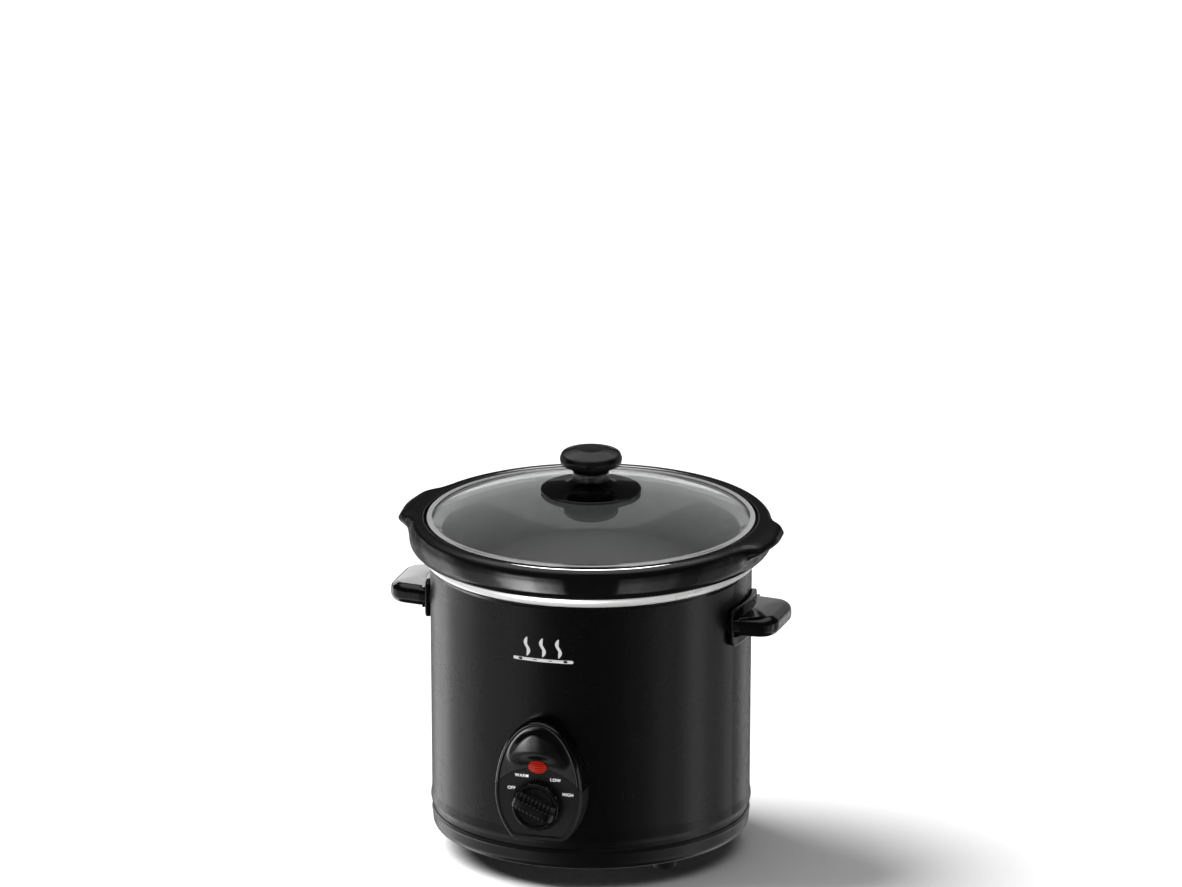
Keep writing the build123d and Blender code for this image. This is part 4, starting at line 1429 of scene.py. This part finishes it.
@dataclass
class Studio:
    """Camera, white floor, glowing rings, lamps and a dim surround; its own lengths are in metres."""

    azimuth: float = 17.5
    elevation: float = 17.6
    distance: float = 20.0
    frame_width: float = 0.788
    aim_z: float = 0.279
    sensor: float = 36.0
    floor_half: float = 60.0
    ambient: float = 0.03
    ceiling: float = 0.9
    ceiling_tilt: tuple[float, float] = (0.7, 0.85)
    rings: tuple[LightRing, ...] = (
        LightRing("crock_ring", -2.4, 0.6, (
            (-180, 0.5), (-146, 0.5), (-130, 1.7), (-115, 5.0), (-103, 5.5), (-93, 3.0), (-83, 2.2),
            (-74, 2.2), (-66, 3.2), (-58, 8.2), (-50, 14.9), (-42, 19.3), (-35, 16.8), (-28, 10.4),
            (-21, 4.2), (-17.5, 2.5), (-16.5, 0.0), (16.5, 0.0), (17.5, 1.9), (36, 2.9), (43, 2.4),
            (51, 1.5), (59, 0.8), (72, 0.5), (84, 0.7), (94, 1.2), (105, 1.7), (117, 2.2), (132, 1.6),
            (153, 0.5), (180, 0.5),
        ), CROCK_PIECES, soft=True),
        LightRing("crock_sky", 0.7, 4.0, (
            (-180, 0.15), (-150, 0.3), (-100, 0.8), (-50, 0.3), (0, 0.0), (50, 0.2), (100, 0.7), (150, 0.3),
            (180, 0.15),
        ), CROCK_PIECES, soft=True),
        LightRing("base_ring", -2.4, 0.15, (
            (-180, 0.35), (-158, 0.5), (-134, 2.6), (-112, 1.7), (-90, 1.35), (-66, 1.2), (-50, 0.7),
            (-32, 0.14), (-10, 0.0), (18, 0.0), (34, 0.22), (54, 0.78), (80, 1.0), (104, 0.62), (126, 0.75),
            (146, 1.6), (165, 0.4), (180, 0.35),
        ), BASE_PIECES),
        LightRing("knob_ring", -1.8, 0.5, (
            (-180, 0.3), (-100, 0.5), (-40, 0.9), (-24, 1.2), (-14, 0.0), (14, 0.0), (24, 0.9), (100, 0.4),
            (180, 0.3),
        ), KNOB_PIECES),
        LightRing("knob_sky", 0.7, 3.6, (
            (-180, 0.5), (-130, 1.0), (-60, 0.6), (0, 0.2), (80, 0.3), (140, 0.6), (180, 0.5),
        ), ("mushroom_knob",), soft=True),
        LightRing("band_ring", -1.8, 1.9, (
            (-180, 0.7), (-100, 1.3), (-26, 1.7), (-18, 0.05), (18, 0.05), (26, 1.5), (100, 1.2), (180, 0.7),
        ), ("folded_band",)),
        LightRing("grip_backdrop", 0.3, 1.6, (
            (130, 0.35), (174, 0.4), (178, 0.6), (182, 1.9), (186, 2.2), (230, 2.2),
        ), GRIP_PIECES),
        LightRing("dome_panel", -1.1, 0.9, (
            (-62, 0.0), (-54, 1.2), (-46, 5.5), (-38, 1.2), (-30, 0.0),
        ), ("upper_cover_dome",), soft=True),
    )
    lamps: tuple[Lamp, ...] = (
        Lamp("top_lamp", "AREA", 180, 52, 34.0, 0.55, CROCK_PIECES, CROCK_PIECES),
        Lamp("label_lamp", "AREA", -10, 40, 40.0, 0.6, INK_PIECES + ("warmth_mark",), ("shell_skin",)),
        Lamp("well_lamp", "AREA", -34, 52, 56.0, 1.2, WELL_PIECES, ("shell_skin", "well_liner")),
        Lamp("floor_sun", "SUN", -112, 50, 4.6, 42, ("floor",)),
    )

    def camera(self) -> None:
        """Long lens on a wide orbit: lens = sensor x distance / width of the frame at the object."""
        data = bpy.data.cameras.new("camera")
        data.sensor_width = self.sensor
        data.lens = self.sensor * self.distance / self.frame_width
        camera = in_scene("camera", data)
        turn, tilt = math.radians(self.azimuth), math.radians(self.elevation)
        camera.location = (
            self.distance * math.sin(turn) * math.cos(tilt),
            -self.distance * math.cos(turn) * math.cos(tilt),
            self.aim_z + self.distance * math.sin(tilt),
        )
        camera.rotation_euler = (math.pi / 2 - tilt, 0, turn)
        bpy.context.scene.camera = camera

    def floor(self) -> None:
        """White table top, kept out of reflections so that the dark finishes stay dark."""
        half = self.floor_half
        mesh = bpy.data.meshes.new("floor")
        corners = [(-half, -half, 0), (half, -half, 0), (half, half, 0), (-half, half, 0)]
        mesh.from_pydata(corners, [], [(0, 1, 2, 3)])
        floor = in_scene("floor", mesh)
        material = bpy.data.materials.new("white_table")
        material.use_nodes = True
        shader = material.node_tree.nodes["Principled BSDF"]
        shader.inputs["Base Color"].default_value = linear("#f4f4f4")
        shader.inputs["Roughness"].default_value = 0.9
        shader.inputs["Specular IOR Level"].default_value = 0.0
        mesh.materials.append(material)
        floor.visible_glossy = floor.visible_shadow = False

    def surround(self) -> None:
        """World: white where it is seen straight or through glass, and else dim with a soft ceiling."""
        world = bpy.data.worlds.new("surround")
        bpy.context.scene.world = world
        world.use_nodes = True
        tree = world.node_tree
        tree.nodes.clear()
        place = add_node(tree, "ShaderNodeTexCoord").outputs["Generated"]
        split = add_node(tree, "ShaderNodeSeparateXYZ", links={"Vector": place})
        upper = add_node(tree, "ShaderNodeMapRange", {
            "From Min": self.ceiling_tilt[0], "From Max": self.ceiling_tilt[1], "To Min": self.ambient,
            "To Max": self.ceiling,
        }, {"Value": split.outputs["Z"]})
        dim = add_node(tree, "ShaderNodeBackground", {"Color": WHITE}, {"Strength": upper.outputs["Result"]})
        white = add_node(tree, "ShaderNodeBackground", {"Color": WHITE, "Strength": 1.0})
        path = add_node(tree, "ShaderNodeLightPath")
        seen = add_node(tree, "ShaderNodeMath", operation="MAXIMUM")
        tree.links.new(path.outputs["Is Camera Ray"], seen.inputs[0])
        tree.links.new(path.outputs["Is Transmission Ray"], seen.inputs[1])
        mix = add_node(tree, "ShaderNodeMixShader", {}, {"Fac": seen.outputs["Value"]})
        tree.links.new(dim.outputs["Background"], mix.inputs[1])
        tree.links.new(white.outputs["Background"], mix.inputs[2])
        add_node(tree, "ShaderNodeOutputWorld", links={"Surface": mix.outputs["Shader"]})

    def build(self) -> None:
        """Adds the camera, the lights and the stage."""
        self.camera()
        self.floor()
        self.surround()
        for light in (*self.rings, *self.lamps):
            light.build(self.azimuth - 90)
        bpy.context.scene.view_settings.view_transform = "Standard"
        log.info("studio ready")


def main() -> None:
    """Builds the studio and then the object, piece by piece."""
    logging.basicConfig(level=logging.INFO, format="%(message)s")
    finish_cad_nodes()
    drum = Drum()
    drum.build()
    for side in Side:
        SideHandle(side, drum).build()
    ControlPanel(drum).build()
    WarmthMark(drum).build()
    Dial().build()
    Crock().build()
    Lid().build()
    Studio().build()


if __name__ == "__main__":
    main()
